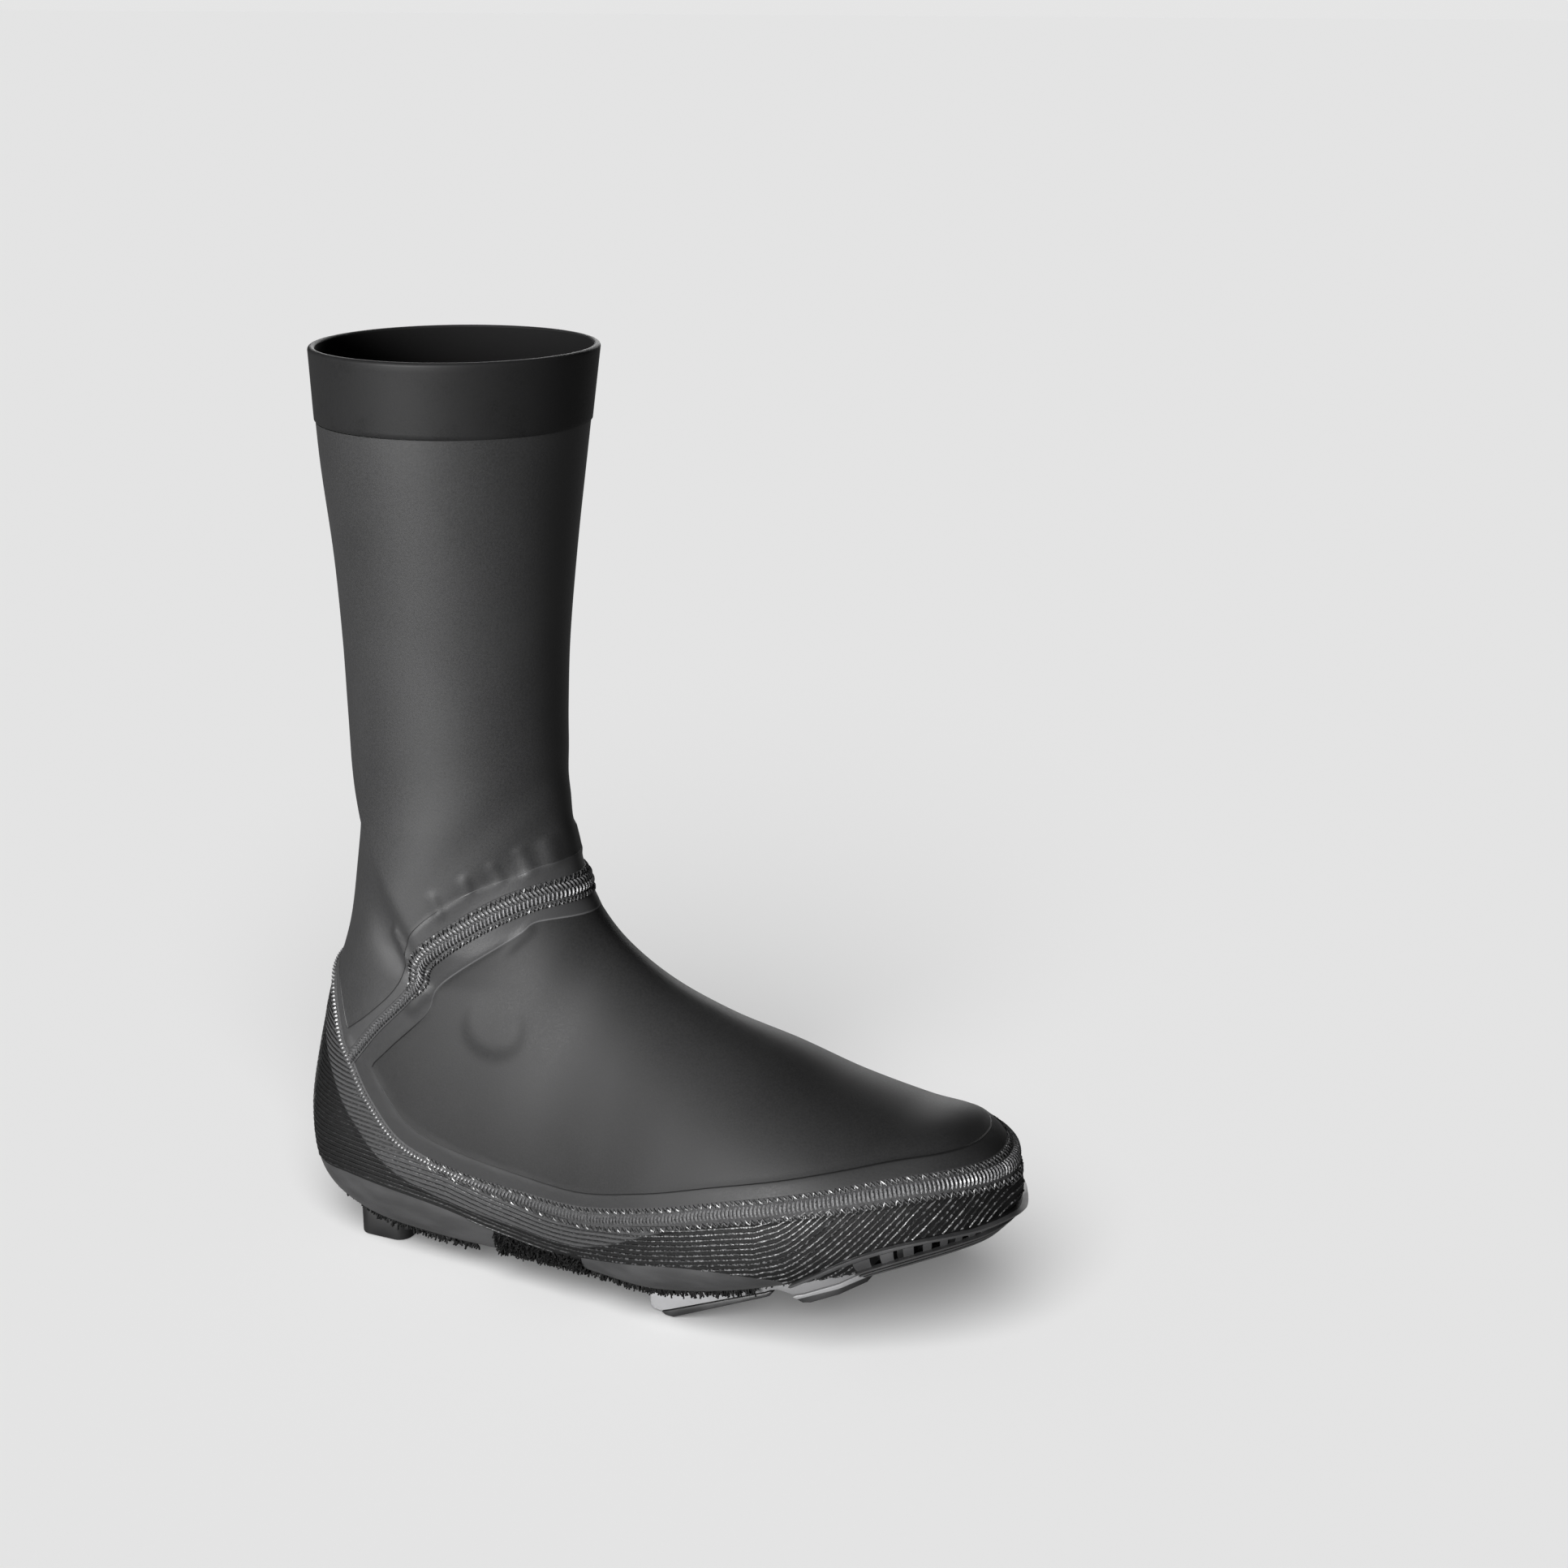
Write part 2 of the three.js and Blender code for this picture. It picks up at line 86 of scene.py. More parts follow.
# Driving sizes, in millimetres
RIM_Z = 338.0
CUFF_HEIGHT = 26.0
CUFF_PROUD = 0.5
WALL = 2.0
TAPE_HEIGHT = 0.35
TAPE_OVER_SEAM = 9.5
TAPE_BY_HEEL = 5.5
TAPE_UNDER_SEAM = 12.0
TAPE_UNDER_SEAM_AT_TOE = 3.0
RIB_PITCH = 1.9
RIB_RADIUS = 0.4

# Limits past the boot, for the blocks that cut it
LOW = -12.0
LEFT = -40.0
RIGHT = 300.0
BLOCK = 90.0

# Sections of the boot from the toe round the instep to the top of the leg: front (crest) point, back (sole
# or heel) point, half width, middle y, height share of the widest level, powers of the upper and lower half
SECTIONS = (
    ("toe point", 276, 62, 276, 54, 4, 6, 0.5, 2.0, 2.0),
    ("toe tip", 272.5, 67, 272, 49, 12, 6, 0.5, 2.1, 2.2),
    ("toe front", 265, 75, 266, 42, 22, 6, 0.46, 2.2, 2.6),
    ("toe", 253, 82, 254, 37, 32, 5, 0.4, 2.2, 3.0),
    ("toe box", 235, 84, 233, 31, 41, 3, 0.36, 2.1, 3.4),
    ("ball front", 211, 91, 208, 24, 46, 0, 0.32, 2.0, 3.6),
    ("ball", 188, 100, 183, 17, 47, -1, 0.28, 1.9, 4.0),
    ("waist front", 164, 108, 155, 12, 45, -2, 0.25, 1.8, 4.4),
    ("waist", 141, 117, 126, 11, 41, -1, 0.24, 1.8, 4.6),
    ("instep", 123, 129, 96, 9, 38, 0, 0.25, 1.8, 5.0),
    ("long heel", 112, 142, 62, 8, 37, 0, 0.27, 1.9, 5.0),
    ("heel seat", 107, 155, 28, 10, 36, 0, 0.3, 1.9, 4.6),
    ("heel round", 105, 164, 4, 19, 34, 0, 0.38, 2.0, 3.6),
    ("heel back", 103, 172, -5, 40, 33, 0, 0.45, 2.0, 2.6),
    ("heel cup", 102, 180, -3, 66, 33, 0, 0.5, 2.0, 2.1),
    ("heel top", 101, 188, 5, 94, 33, 0, 0.5, 2.0, 2.1),
    ("tendon", 101, 198, 15, 125, 33, 0, 0.5, 2.0, 2.0),
    ("ankle", 101, 212, 20, 165, 33.5, 0, 0.5, 2.0, 2.0),
    ("shin", 102, 236, 19, 212, 36, 0, 0.5, 2.0, 2.0),
    ("low calf", 105, 268, 18, 260, 40.5, 0, 0.5, 2.0, 2.0),
    ("calf", 109, 300, 15, 300, 45, 0, 0.5, 2.0, 2.0),
    ("rim", 114, 338, 14, 338, 49, 0, 0.5, 2.0, 2.0),
    ("past the rim", 116, 352, 13, 352, 50.5, 0, 0.5, 2.0, 2.0),
)

# Lines on the side view, x and z
ANKLE_SEAM = ((140, 150), (111, 148), (96, 145), (79, 136), (61, 122), (56, 109), (39, 91), (27, 76))
HEEL_SEAM = ((-25, 112), (4, 110), (13, 106), (17, 96), (22, 84))
SIDE_SEAM = ((27, 76), (36, 61), (53, 46.5), (89, 38.8), (126, 37.5), (158, 45), (189, 54), (228, 63),
             (259, 67.5), (292, 64))
RIB_EDGE = ((-25, 28), (11, 29.5), (29, 30), (69, 26), (90, 21.5), (115, 20), (138, 23.5), (172, 30.5),
            (200, 32), (209, 28), (212, 4))
TOE_RIM = ((220, 35.5), (229, 41), (240, 46), (254, 49.5), (270, 50.5), (292, 50.5))
TREAD_TOP = ((235, 33.5), (242, 36.5), (256, 41), (270, 43.5), (292, 44))
ANKLE_TAPE_TOP = ((140, 159), (106, 158), (93, 154), (75, 146), (57, 131), (51, 112), (37, 97), (17, 82))
ANKLE_TAPE_BOTTOM = ((140, 138), (104, 138), (94, 132), (68, 113), (62, 101), (47, 86), (30, 69))
LEG_FOLD = ((8, 215), (20, 190), (34, 160), (48, 137), (57, 121))

# How the ribs run: x, height of the middle rib there, and how far the ribs spread apart there
RIB_RUN = ((-25, 23, 1.28), (0, 27, 1.16), (25, 29.5, 1.0), (69, 26, 1.0), (90, 22, 0.95), (115, 20, 0.9),
           (138, 22.5, 0.95), (172, 29.5, 1.0), (200, 36, 1.05), (210, 40, 1.15), (220, 48.5, 1.3),
           (230, 59.5, 1.45), (240, 72, 1.55), (250, 86, 1.6), (262, 104, 1.7), (276, 128, 1.8))


class Side(Enum):
    """A side of the foot, by the sign of y."""

    OUTER = -1
    INNER = 1

    def turned(self, angle: np.ndarray) -> np.ndarray:
        """Angles of the outer side, as they are on this side."""
        return angle if self is Side.OUTER else 2 * math.pi - angle


class Cut(Enum):
    """What a cutter does to the solid it meets."""

    KEEP_INSIDE = "INTERSECT"
    TAKE_AWAY = "DIFFERENCE"


@dataclass(frozen=True)
class PlanRectangle:
    """A rounded rectangle seen from above, in millimetres."""

    rear: float
    front: float
    half: float
    corner: float

    def outline(self, steps: int = 8) -> list[tuple[float, float]]:
        """Points round the rectangle, against the clock.

        Args:
            steps: points on each corner's quarter circle.
        Returns:
            The outline as x and y.
        """
        corners = ((self.front, -self.half, -90), (self.front, self.half, 0),
                   (self.rear, self.half, 90), (self.rear, -self.half, 180))
        points = []
        for x, y, start in corners:
            cx = x - math.copysign(self.corner, x - (self.rear + self.front) / 2)
            cy = y - math.copysign(self.corner, y)
            for k in range(steps + 1):
                angle = math.radians(start + 90 * k / steps)
                points.append((cx + self.corner * math.cos(angle), cy + self.corner * math.sin(angle)))
        return points


HEEL_OPENING = PlanRectangle(9, 80, 27, 14)
CLEAT_OPENING = PlanRectangle(139, 230, 33.5, 12)
TOE_OPENING = 234.0
ARCH_REAR = 89.0
ARCH_FRONT = 128.0
FOREFOOT_FRONT = 216.0
HEM_SPANS = {"heel": (8.0, ARCH_REAR), "cleat": (130.0, 231.0)}
FRINGE_SPANS = {"heel": (9.6, 11.9), "cleat": (5.6, 8.3)}
FRINGE_DROP = 0.93

# Radii of threads, in millimetres
LOOP_RADIUS = 0.24
HEM_RADIUS = 0.36
BRAID_RADIUS = 0.42
EDGE_RADIUS = 0.32
LOOP_SPACING = 1.05


# Lines in the side view


def catmull_rom(table: np.ndarray, place: np.ndarray) -> np.ndarray:
    """Values of a table of rows on cubic curves through all of them.

    Args:
        table: the rows.
        place: row numbers, whole or between rows.
    Returns:
        One row of values for each place.
    """
    last = len(table) - 1
    i = np.clip(np.floor(place).astype(int), 0, last - 1)
    t = (place - i)[..., None]
    p0, p1 = table[np.maximum(i - 1, 0)], table[i]
    p2, p3 = table[i + 1], table[np.minimum(i + 2, last)]
    cubic = (3 * p1 - p0 - 3 * p2 + p3) * t ** 3 + (2 * p0 - 5 * p1 + 4 * p2 - p3) * t ** 2
    return 0.5 * (2 * p1 + (p2 - p0) * t + cubic)


def smooth_line(points: tuple[tuple[float, float], ...], steps: int = 8) -> np.ndarray:
    """A smooth line through points of the side view.

    Args:
        points: x and z of each point.
        steps: steps from each point to the next.
    Returns:
        The line's points, x and z.
    """
    table = np.array(points, float)
    return catmull_rom(table, np.linspace(0, len(table) - 1, steps * (len(table) - 1) + 1))


def beside(line: np.ndarray, distance: float) -> np.ndarray:
    """The line moved sideways, to the left of its direction of travel where distance is positive."""
    along = np.gradient(line, axis=0)
    along /= np.linalg.norm(along, axis=1, keepdims=True)
    return line + distance * np.column_stack((-along[:, 1], along[:, 0]))


def strip_outline(line: np.ndarray, left: float, right: float) -> np.ndarray:
    """The outline of a strip that lies along a line, that far to its left and right."""
    return np.vstack((beside(line, left), beside(line, -right)[::-1]))


def travelled(line: np.ndarray) -> np.ndarray:
    """The distance from a line's first point to each of its points, along the line."""
    return np.concatenate(([0], np.cumsum(np.linalg.norm(np.diff(line, axis=0), axis=1))))


def smooth_resample(line: np.ndarray, count: int) -> np.ndarray:
    """The line with that many evenly spaced points."""
    way = travelled(line)
    at = np.linspace(0, way[-1], count)
    return np.column_stack([np.interp(at, way, line[:, k]) for k in range(line.shape[1])])


def signed_distance(points: np.ndarray, line: np.ndarray) -> np.ndarray:
    """How far points of the side view are from a line, positive on its left.

    Args:
        points: x and z of each point.
        line: the line's points.
    Returns:
        The distances in millimetres.
    """
    start, step = line[:-1], np.diff(line, axis=0)
    best = np.full(len(points), np.inf)
    sign = np.ones(len(points))
    for a, d in zip(start, step):
        offset = points - a
        share = np.clip(offset @ d / (d @ d), 0, 1)
        away = offset - share[:, None] * d
        distance = np.hypot(away[:, 0], away[:, 1])
        closer = distance < best - 1e-9
        best = np.where(closer, distance, best)
        sign = np.where(closer, np.sign(d[0] * offset[:, 1] - d[1] * offset[:, 0]), sign)
    return best * sign


ANKLE_LINE = smooth_line(ANKLE_SEAM)
SIDE_LINE = smooth_line(HEEL_SEAM + SIDE_SEAM)
RIB_EDGE_LINE = smooth_line(RIB_EDGE, 4)
TOE_RIM_LINE = smooth_line(TOE_RIM)
TREAD_LINE = smooth_line(TREAD_TOP, 6)
TAPE_TOP_LINE = smooth_line(ANKLE_TAPE_TOP)
TAPE_BOTTOM_LINE = smooth_line(ANKLE_TAPE_BOTTOM)
FOLD_LINE = smooth_line(LEG_FOLD)
JUNCTION = int(np.argmin(np.hypot(*(SIDE_LINE - SIDE_SEAM[0]).T)))


# The boot's form


def ease(value: np.ndarray) -> np.ndarray:
    """A smooth step from 0 to 1."""
    t = np.clip(value, 0, 1)
    return t * t * (3 - 2 * t)


@dataclass(frozen=True)
class Swelling:
    """A lifted place on the outer side of the cloth, round or drawn out along a line in side view."""

    start: tuple[float, float]
    end: tuple[float, float]
    reach: float
    height: float

    def lift(self, places: np.ndarray) -> np.ndarray:
        """How far the cloth is lifted.

        Args:
            places: x and z of points on the cloth.
        Returns:
            The lift at each, in millimetres.
        """
        start, along = np.array(self.start, float), np.subtract(self.end, self.start).astype(float)
        share = np.clip((places - start) @ along / max(along @ along, 1e-9), 0, 1)
        away = places - start - share[:, None] * along
        distance = np.hypot(away[:, 0], away[:, 1]) / self.reach
        return self.height * ease(1 - distance)


@dataclass(frozen=True)
class Fold:
    """The fold of cloth down the leg's outer side: a soft step with a hollow beside it."""

    top: float = 230.0
    top_fade: float = 60.0
    bottom: float = 112.0
    bottom_fade: float = 12.0
    height: float = 2.4
    hollow: float = 1.5

    def lift(self, places: np.ndarray) -> np.ndarray:
        """How far the cloth is lifted, below 0 in the hollow.

        Args:
            places: x and z of points on the cloth.
        Returns:
            The lift at each, in millimetres.
        """
        away = signed_distance(places, FOLD_LINE)
        near = np.clip((self.top - places[:, 1]) / self.top_fade, 0, 1)
        near = near * np.clip((places[:, 1] - self.bottom) / self.bottom_fade, 0, 1)
        step = ease((away + 2) / 8.0) * np.exp(-np.clip(away, 0, None) / 22)
        return near * (self.height * step - self.hollow * np.exp(-((away + 6) / 7) ** 2))


@dataclass(frozen=True)
class Dial:
    """The shoe's closing dial under the cloth: a disc that stands out more towards its lower edge."""

    centre: tuple[float, float] = (88.5, 102.0)
    radius: float = 9.0
    height: float = 0.9
    side_fall: float = 3.0
    low_fall: float = 7.0

    def lift(self, places: np.ndarray) -> np.ndarray:
        """How far the cloth is lifted over the dial.

        Args:
            places: x and z of points on the cloth.
        Returns:
            The lift at each, in millimetres.
        """
        offset = places - np.array(self.centre)
        distance = np.hypot(offset[:, 0], offset[:, 1])
        lowness = ease((-offset[:, 1] / np.maximum(distance, 0.1) + 0.35) / 1.2)
        fall = self.side_fall + (self.low_fall - self.side_fall) * lowness
        rise = ease((self.radius * 1.25 - offset[:, 1]) / (2.3 * self.radius))
        return self.height * rise * ease(1 - (distance - self.radius) / fall)


OUTER_SHAPES = (
    Dial(),
    Swelling((50, 131), (55.5, 120), 3.0, 2.0),
    Swelling((61, 109), (56, 103), 4.5, 1.0),
    Fold(),
)
PUCKERS = (
    Swelling((101, 165), (103, 158), 3.2, 0.8),
    Swelling((94, 163), (97, 155), 3.0, 0.7),
    Swelling((86, 158), (88, 153), 2.8, 0.5),
    Swelling((66, 146), (68, 140), 3.0, 0.5),
    Swelling((77, 153), (78, 149), 2.6, 0.6),
    Swelling((98, 134), (92, 128), 3.0, 0.4),
    Swelling((26, 84), (30, 79), 3.0, 0.7),
)


@dataclass(frozen=True)
class BootForm:
    """The closed form that the whole boot is cut from, as sections that turn round the instep.

    The form is laid out with that many rings, each with that many points around.
    """

    rings: int = 250
    around: int = 208

    def table(self) -> np.ndarray:
        """The sections as numbers."""
        return np.array([row[1:] for row in SECTIONS], float)

    def points(self, s: np.ndarray, theta: np.ndarray) -> np.ndarray:
        """Points on the form.

        Args:
            s: section numbers.
            theta: angles round the section, 0 at the crest and growing over the outer side.
        Returns:
            x, y and z of each point.
        """
        v = catmull_rom(self.table(), s)
        back = v[..., 2:4]
        half, mid, wide, top, sole = (v[..., k] for k in range(4, 9))
        c, n = np.cos(theta), np.sin(theta)
        power = 2 / np.where(c >= 0, top, sole)
        rise = np.sign(c) * np.abs(c) ** power
        share = wide + rise * np.where(c >= 0, 1 - wide, wide)
        xz = back + (v[..., 0:2] - back) * share[..., None]
        y = mid - half * np.sign(n) * np.abs(n) ** power
        return np.stack((xz[..., 0], y, xz[..., 1]), axis=-1)

    def normals(self, s: np.ndarray, theta: np.ndarray) -> np.ndarray:
        """Outward unit normals at points on the form, given as for points."""
        last = len(SECTIONS) - 1
        ds, dt = 0.03, 0.012
        along = self.points(np.minimum(s + ds, last), theta) - self.points(np.maximum(s - ds, 0), theta)
        round_it = self.points(s, theta + dt) - self.points(s, theta - dt)
        normal = np.cross(along, round_it)
        normal /= np.maximum(np.linalg.norm(normal, axis=-1, keepdims=True), 1e-9)
        v = catmull_rom(self.table(), s)
        middle = v[..., 2:4] + (v[..., 0:2] - v[..., 2:4]) * v[..., 6:7]
        centre = np.stack((middle[..., 0], v[..., 5], middle[..., 1]), axis=-1)
        outward = np.sum(normal * (self.points(s, theta) - centre), axis=-1, keepdims=True)
        return normal * np.where(outward < 0, -1, 1)

    def locate(self, places: np.ndarray) -> tuple[np.ndarray, np.ndarray, np.ndarray]:
        """Finds points of the side view on the form's outer side.

        Args:
            places: x and z of each point.
        Returns:
            Section numbers, angles, and each point's height share in its section, which is below 0 or
            above 1 where the point lies outside the form.
        """
        table = self.table()
        low, high = np.zeros(len(places)), np.full(len(places), len(table) - 1.0)
        for _ in range(44):
            s = (low + high) / 2
            v = catmull_rom(table, s)
            rise, offset = v[:, 0:2] - v[:, 2:4], places - v[:, 2:4]
            ahead = rise[:, 0] * offset[:, 1] - rise[:, 1] * offset[:, 0] > 0
            low, high = np.where(ahead, s, low), np.where(ahead, high, s)
        v = catmull_rom(table, s)
        rise, offset = v[:, 0:2] - v[:, 2:4], places - v[:, 2:4]
        share = np.sum(rise * offset, axis=1) / np.sum(rise * rise, axis=1)
        wide, top, sole = v[:, 6], v[:, 7], v[:, 8]
        inside = np.clip(share, 0, 1)
        upper = inside >= wide
        level = np.abs(inside - wide) / np.where(upper, 1 - wide, wide)
        c = np.clip(level, 0, 1) ** (np.where(upper, top, sole) / 2)
        return s, np.where(upper, np.arccos(c), math.pi - np.arccos(c)), share

    def grid(self) -> tuple[np.ndarray, np.ndarray]:
        """Section numbers and angles of an even grid over the form.

        Returns:
            Two arrays of rings by points around.
        """
        last = len(SECTIONS) - 1
        s = np.linspace(0, last, 2400)
        lines = [self.points(s, np.full_like(s, angle)) for angle in (0.0, math.pi / 2, math.pi)]
        steps = sum(np.linalg.norm(np.diff(line, axis=0), axis=1) for line in lines)
        way = np.concatenate(([0], np.cumsum(steps)))
        rows = np.interp(np.linspace(0, way[-1], self.rings), way, s)
        fine = np.linspace(0, math.pi, 721)
        half = self.around // 2
        theta = np.empty((self.rings, self.around))
        for i, row in enumerate(rows):
            line = self.points(np.full_like(fine, row), fine)
            length = travelled(line)
            side = np.interp(np.linspace(0, length[-1], half + 1), length, fine)
            theta[i] = np.concatenate((side, 2 * math.pi - side[1:-1][::-1]))
        return np.repeat(rows[:, None], self.around, axis=1), theta


def relief(points: np.ndarray, normals: np.ndarray) -> np.ndarray:
    """How far the cloth stands out from the plain form, from tapes, folds and what lies under it.

    Args:
        points: x, y and z on the form.
        normals: the form's normals there.
    Returns:
        The lift at each point, in millimetres.
    """
    places = points[:, [0, 2]]
    outer = np.clip(-normals[:, 1] * 1.4, 0, 1)
    flank = np.clip(np.abs(normals[:, 1]) * 1.6, 0, 1)
    lift = outer * sum(shape.lift(places) for shape in OUTER_SHAPES)
    lift += flank * sum(pucker.lift(places) for pucker in PUCKERS)
    return lift + TAPE_HEIGHT * ease(tape_inset(places) / 1.2 + 0.5)


def tape_inset(places: np.ndarray) -> np.ndarray:
    """How far points of the side view lie inside the seam tapes, below 0 outside them."""
    ankle = np.minimum(signed_distance(places, TAPE_TOP_LINE), -signed_distance(places, TAPE_BOTTOM_LINE))
    side = signed_distance(places, SIDE_LINE)
    ankle = np.minimum(ankle, side + 1)
    on_foot = signed_distance(places, ANKLE_LINE) > 0
    towards_toe = ease((places[:, 0] - 118) / 60)
    below = TAPE_UNDER_SEAM - (TAPE_UNDER_SEAM - TAPE_UNDER_SEAM_AT_TOE) * towards_toe
    above = np.minimum(side + below, np.where(on_foot, TAPE_OVER_SEAM, TAPE_BY_HEEL) - side)
    return np.maximum(ankle, above)


def painted_tape_sheen(places: np.ndarray) -> np.ndarray:
    """Painted sheen on the seam tapes and threads, from 0 to 1, by place in the side view: strongest towards
    the front of the ankle seam and fading on the side seam towards the toe.
    """
    under_ankle = signed_distance(places, ANKLE_LINE)
    front = ease((places[:, 0] - 45) / 50)
    ankle = np.where(under_ankle > 0, 0.35 + 0.65 * front, 0.3 + 0.2 * front)
    side = 0.36 - 0.2 * ease((places[:, 0] - 110) / 80)
    by_side = np.abs(signed_distance(places, SIDE_LINE)) < 13
    return np.where(by_side & (under_ankle > 14), side, ankle)


# Meshes


def deselect() -> None:
    """Leaves edit mode and deselects everything."""
    if bpy.context.object and bpy.context.object.mode != "OBJECT":
        bpy.ops.object.mode_set(mode="OBJECT")
    bpy.ops.object.select_all(action="DESELECT")


def pick(piece: Piece) -> Piece:
    """Makes a piece the only selected and the active one."""
    deselect()
    piece.select_set(True)
    bpy.context.view_layer.objects.active = piece
    return piece


def placed(name: str, data: bpy.types.ID) -> Piece:
    """Puts an object that shows a mesh, curve, light or camera into the scene."""
    piece = bpy.data.objects.new(name, data)
    bpy.context.scene.collection.objects.link(piece)
    return piece


def mesh_piece(name: str, vertices: np.ndarray, faces: list) -> Piece:
    """A new mesh piece.

    Args:
        name: the piece's name.
        vertices: x, y and z of each vertex.
        faces: vertex numbers of each face.
    Returns:
        The piece, linked to the scene.
    """
    mesh = bpy.data.meshes.new(name)
    mesh.from_pydata([tuple(p) for p in np.asarray(vertices, float)], [], faces)
    mesh.update()
    return placed(name, mesh)


def prism(outline: np.ndarray, low: float, high: float, side_view: bool) -> Piece:
    """A block with the outline given, in side view or in plan.

    Args:
        outline: points round the block, x and z or x and y.
        low: where the block starts across the outline's plane.
        high: where it ends.
        side_view: whether the outline is in side view.
    Returns:
        The block as a piece.
    """
    points = np.asarray(outline, float)
    following = np.roll(points, -1, axis=0)
    if np.sum(points[:, 0] * following[:, 1] - following[:, 0] * points[:, 1]) < 0:
        points = points[::-1]
    count = len(points)
    ends = []
    for level in (low, high):
        column = np.full(count, level)
        order = (points[:, 0], column, points[:, 1]) if side_view else (points[:, 0], points[:, 1], column)
        ends.append(np.column_stack(order))
    faces = [[i, (i + 1) % count, count + (i + 1) % count, count + i] for i in range(count)]
    faces += [list(range(count))[::-1], list(range(count, 2 * count))]
    if side_view:
        faces = [face[::-1] for face in faces]
    return mesh_piece("block", np.vstack(ends), faces)


def side_block(outline: np.ndarray, y0: float = -BLOCK, y1: float = BLOCK) -> Piece:
    """A side-view outline pushed across the boot."""
    return prism(outline, y0, y1, side_view=True)


def plan_block(outline: np.ndarray, z0: float, z1: float) -> Piece:
    """A plan outline raised between two levels."""
    return prism(outline, z0, z1, side_view=False)


def copy_of(piece: Piece, name: str) -> Piece:
    """A copy with a mesh of its own."""
    return placed(name, piece.data.copy())


def discard(piece: Piece) -> None:
    """Removes a piece and its mesh."""
    mesh = piece.data
    bpy.data.objects.remove(piece)
    bpy.data.meshes.remove(mesh)


def modify(piece: Piece, kind: str, **settings: object) -> Piece:
    """Adds a modifier to a piece and applies it.

    Args:
        piece: the piece to change.
        kind: the modifier's type.
        settings: its settings by name.
    Returns:
        The same piece.
    """
    pick(piece)
    bpy.ops.object.modifier_add(type=kind)
    modifier = piece.modifiers[-1]
    for name, value in settings.items():
        setattr(modifier, name, value)
    bpy.ops.object.modifier_apply(modifier=modifier.name)
    return piece


def cut(piece: Piece, cutter: Piece, how: Cut) -> Piece:
    """Cuts a solid with another, which is used up.

    Args:
        piece: the solid to change.
        cutter: what cuts it.
        how: what the cutter does.
    Returns:
        The same piece.
    """
    modify(piece, "BOOLEAN", object=cutter, operation=how.value, solver="MANIFOLD")
    discard(cutter)
    return piece


def bevelled(piece: Piece, width: float, angle: float = 40, segments: int = 2) -> Piece:
    """Rounds a solid's edges that are sharper than an angle in degrees."""
    return modify(piece, "BEVEL", width=width, segments=segments, limit_method="ANGLE",
                  angle_limit=math.radians(angle), use_clamp_overlap=True)


@contextmanager
def editing(piece: Piece) -> Iterator[None]:
    """Edit mode on a piece, with all of it selected."""
    pick(piece)
    bpy.ops.object.mode_set(mode="EDIT")
    bpy.ops.mesh.select_all(action="SELECT")
    yield
    bpy.ops.object.mode_set(mode="OBJECT")


def tidy_faces(piece: Piece, angle: float = 1.0) -> Piece:
    """Merges doubled vertices and flat neighbouring faces."""
    with editing(piece):
        bpy.ops.mesh.remove_doubles(threshold=0.01)
        bpy.ops.mesh.dissolve_limited(angle_limit=math.radians(angle))
    return piece


def joined(name: str, pieces: list[Piece]) -> Piece:
    """Joins pieces into the first one."""
    deselect()
    for piece in pieces:
        piece.select_set(True)
    bpy.context.view_layer.objects.active = pieces[0]
    if len(pieces) > 1:
        bpy.ops.object.join()
    pieces[0].name = name
    return pieces[0]


def closed_grid(name: str, rings: np.ndarray) -> Piece:
    """A closed skin through rings, with its two ends fanned shut.

    Args:
        name: the piece's name.
        rings: rings by points by x, y and z.
    Returns:
        The piece.
    """
    count, around = rings.shape[:2]
    i, j = np.meshgrid(np.arange(count - 1), np.arange(around), indexing="ij")
    n = (j + 1) % around
    quads = np.stack((i * around + j, (i + 1) * around + j, (i + 1) * around + n, i * around + n), axis=-1)
    faces = quads.reshape(-1, 4).tolist()
    vertices = rings.reshape(-1, 3)
    hubs = np.array([rings[0].mean(axis=0), rings[-1].mean(axis=0)])
    first, last = len(vertices), len(vertices) + 1
    base = (count - 1) * around
    for k in range(around):
        following = (k + 1) % around
        faces.append([first, k, following])
        faces.append([last, base + following, base + k])
    return mesh_piece(name, np.vstack((vertices, hubs)), faces)


def form_skin(form: BootForm, offset: float, with_relief: bool = True) -> Piece:
    """The boot's closed form grown by a distance, as a mesh."""
    s, theta = form.grid()
    points, normals = form.points(s, theta), form.normals(s, theta)
    lift = np.zeros(s.size)
    if with_relief:
        lift = relief(points.reshape(-1, 3), normals.reshape(-1, 3))
    return closed_grid("form", points + normals * (offset + lift.reshape(s.shape))[..., None])


class Layer(Enum):
    """The material slots of a cloth piece: its face, its lining, its cut edges and what is sewn on it."""

    FACE = 0
    LINING = 1
    EDGE = 2
    CORD = 3


def give_layers(piece: Piece, layer: Layer) -> Piece:
    """Gives a solid the cloth slots and puts all its faces on one of them."""
    for each in Layer:
        material = bpy.data.materials.get(each.name) or bpy.data.materials.new(each.name)
        piece.data.materials.append(material)
    piece.data.polygons.foreach_set("material_index", np.full(len(piece.data.polygons), layer.value))
    return piece


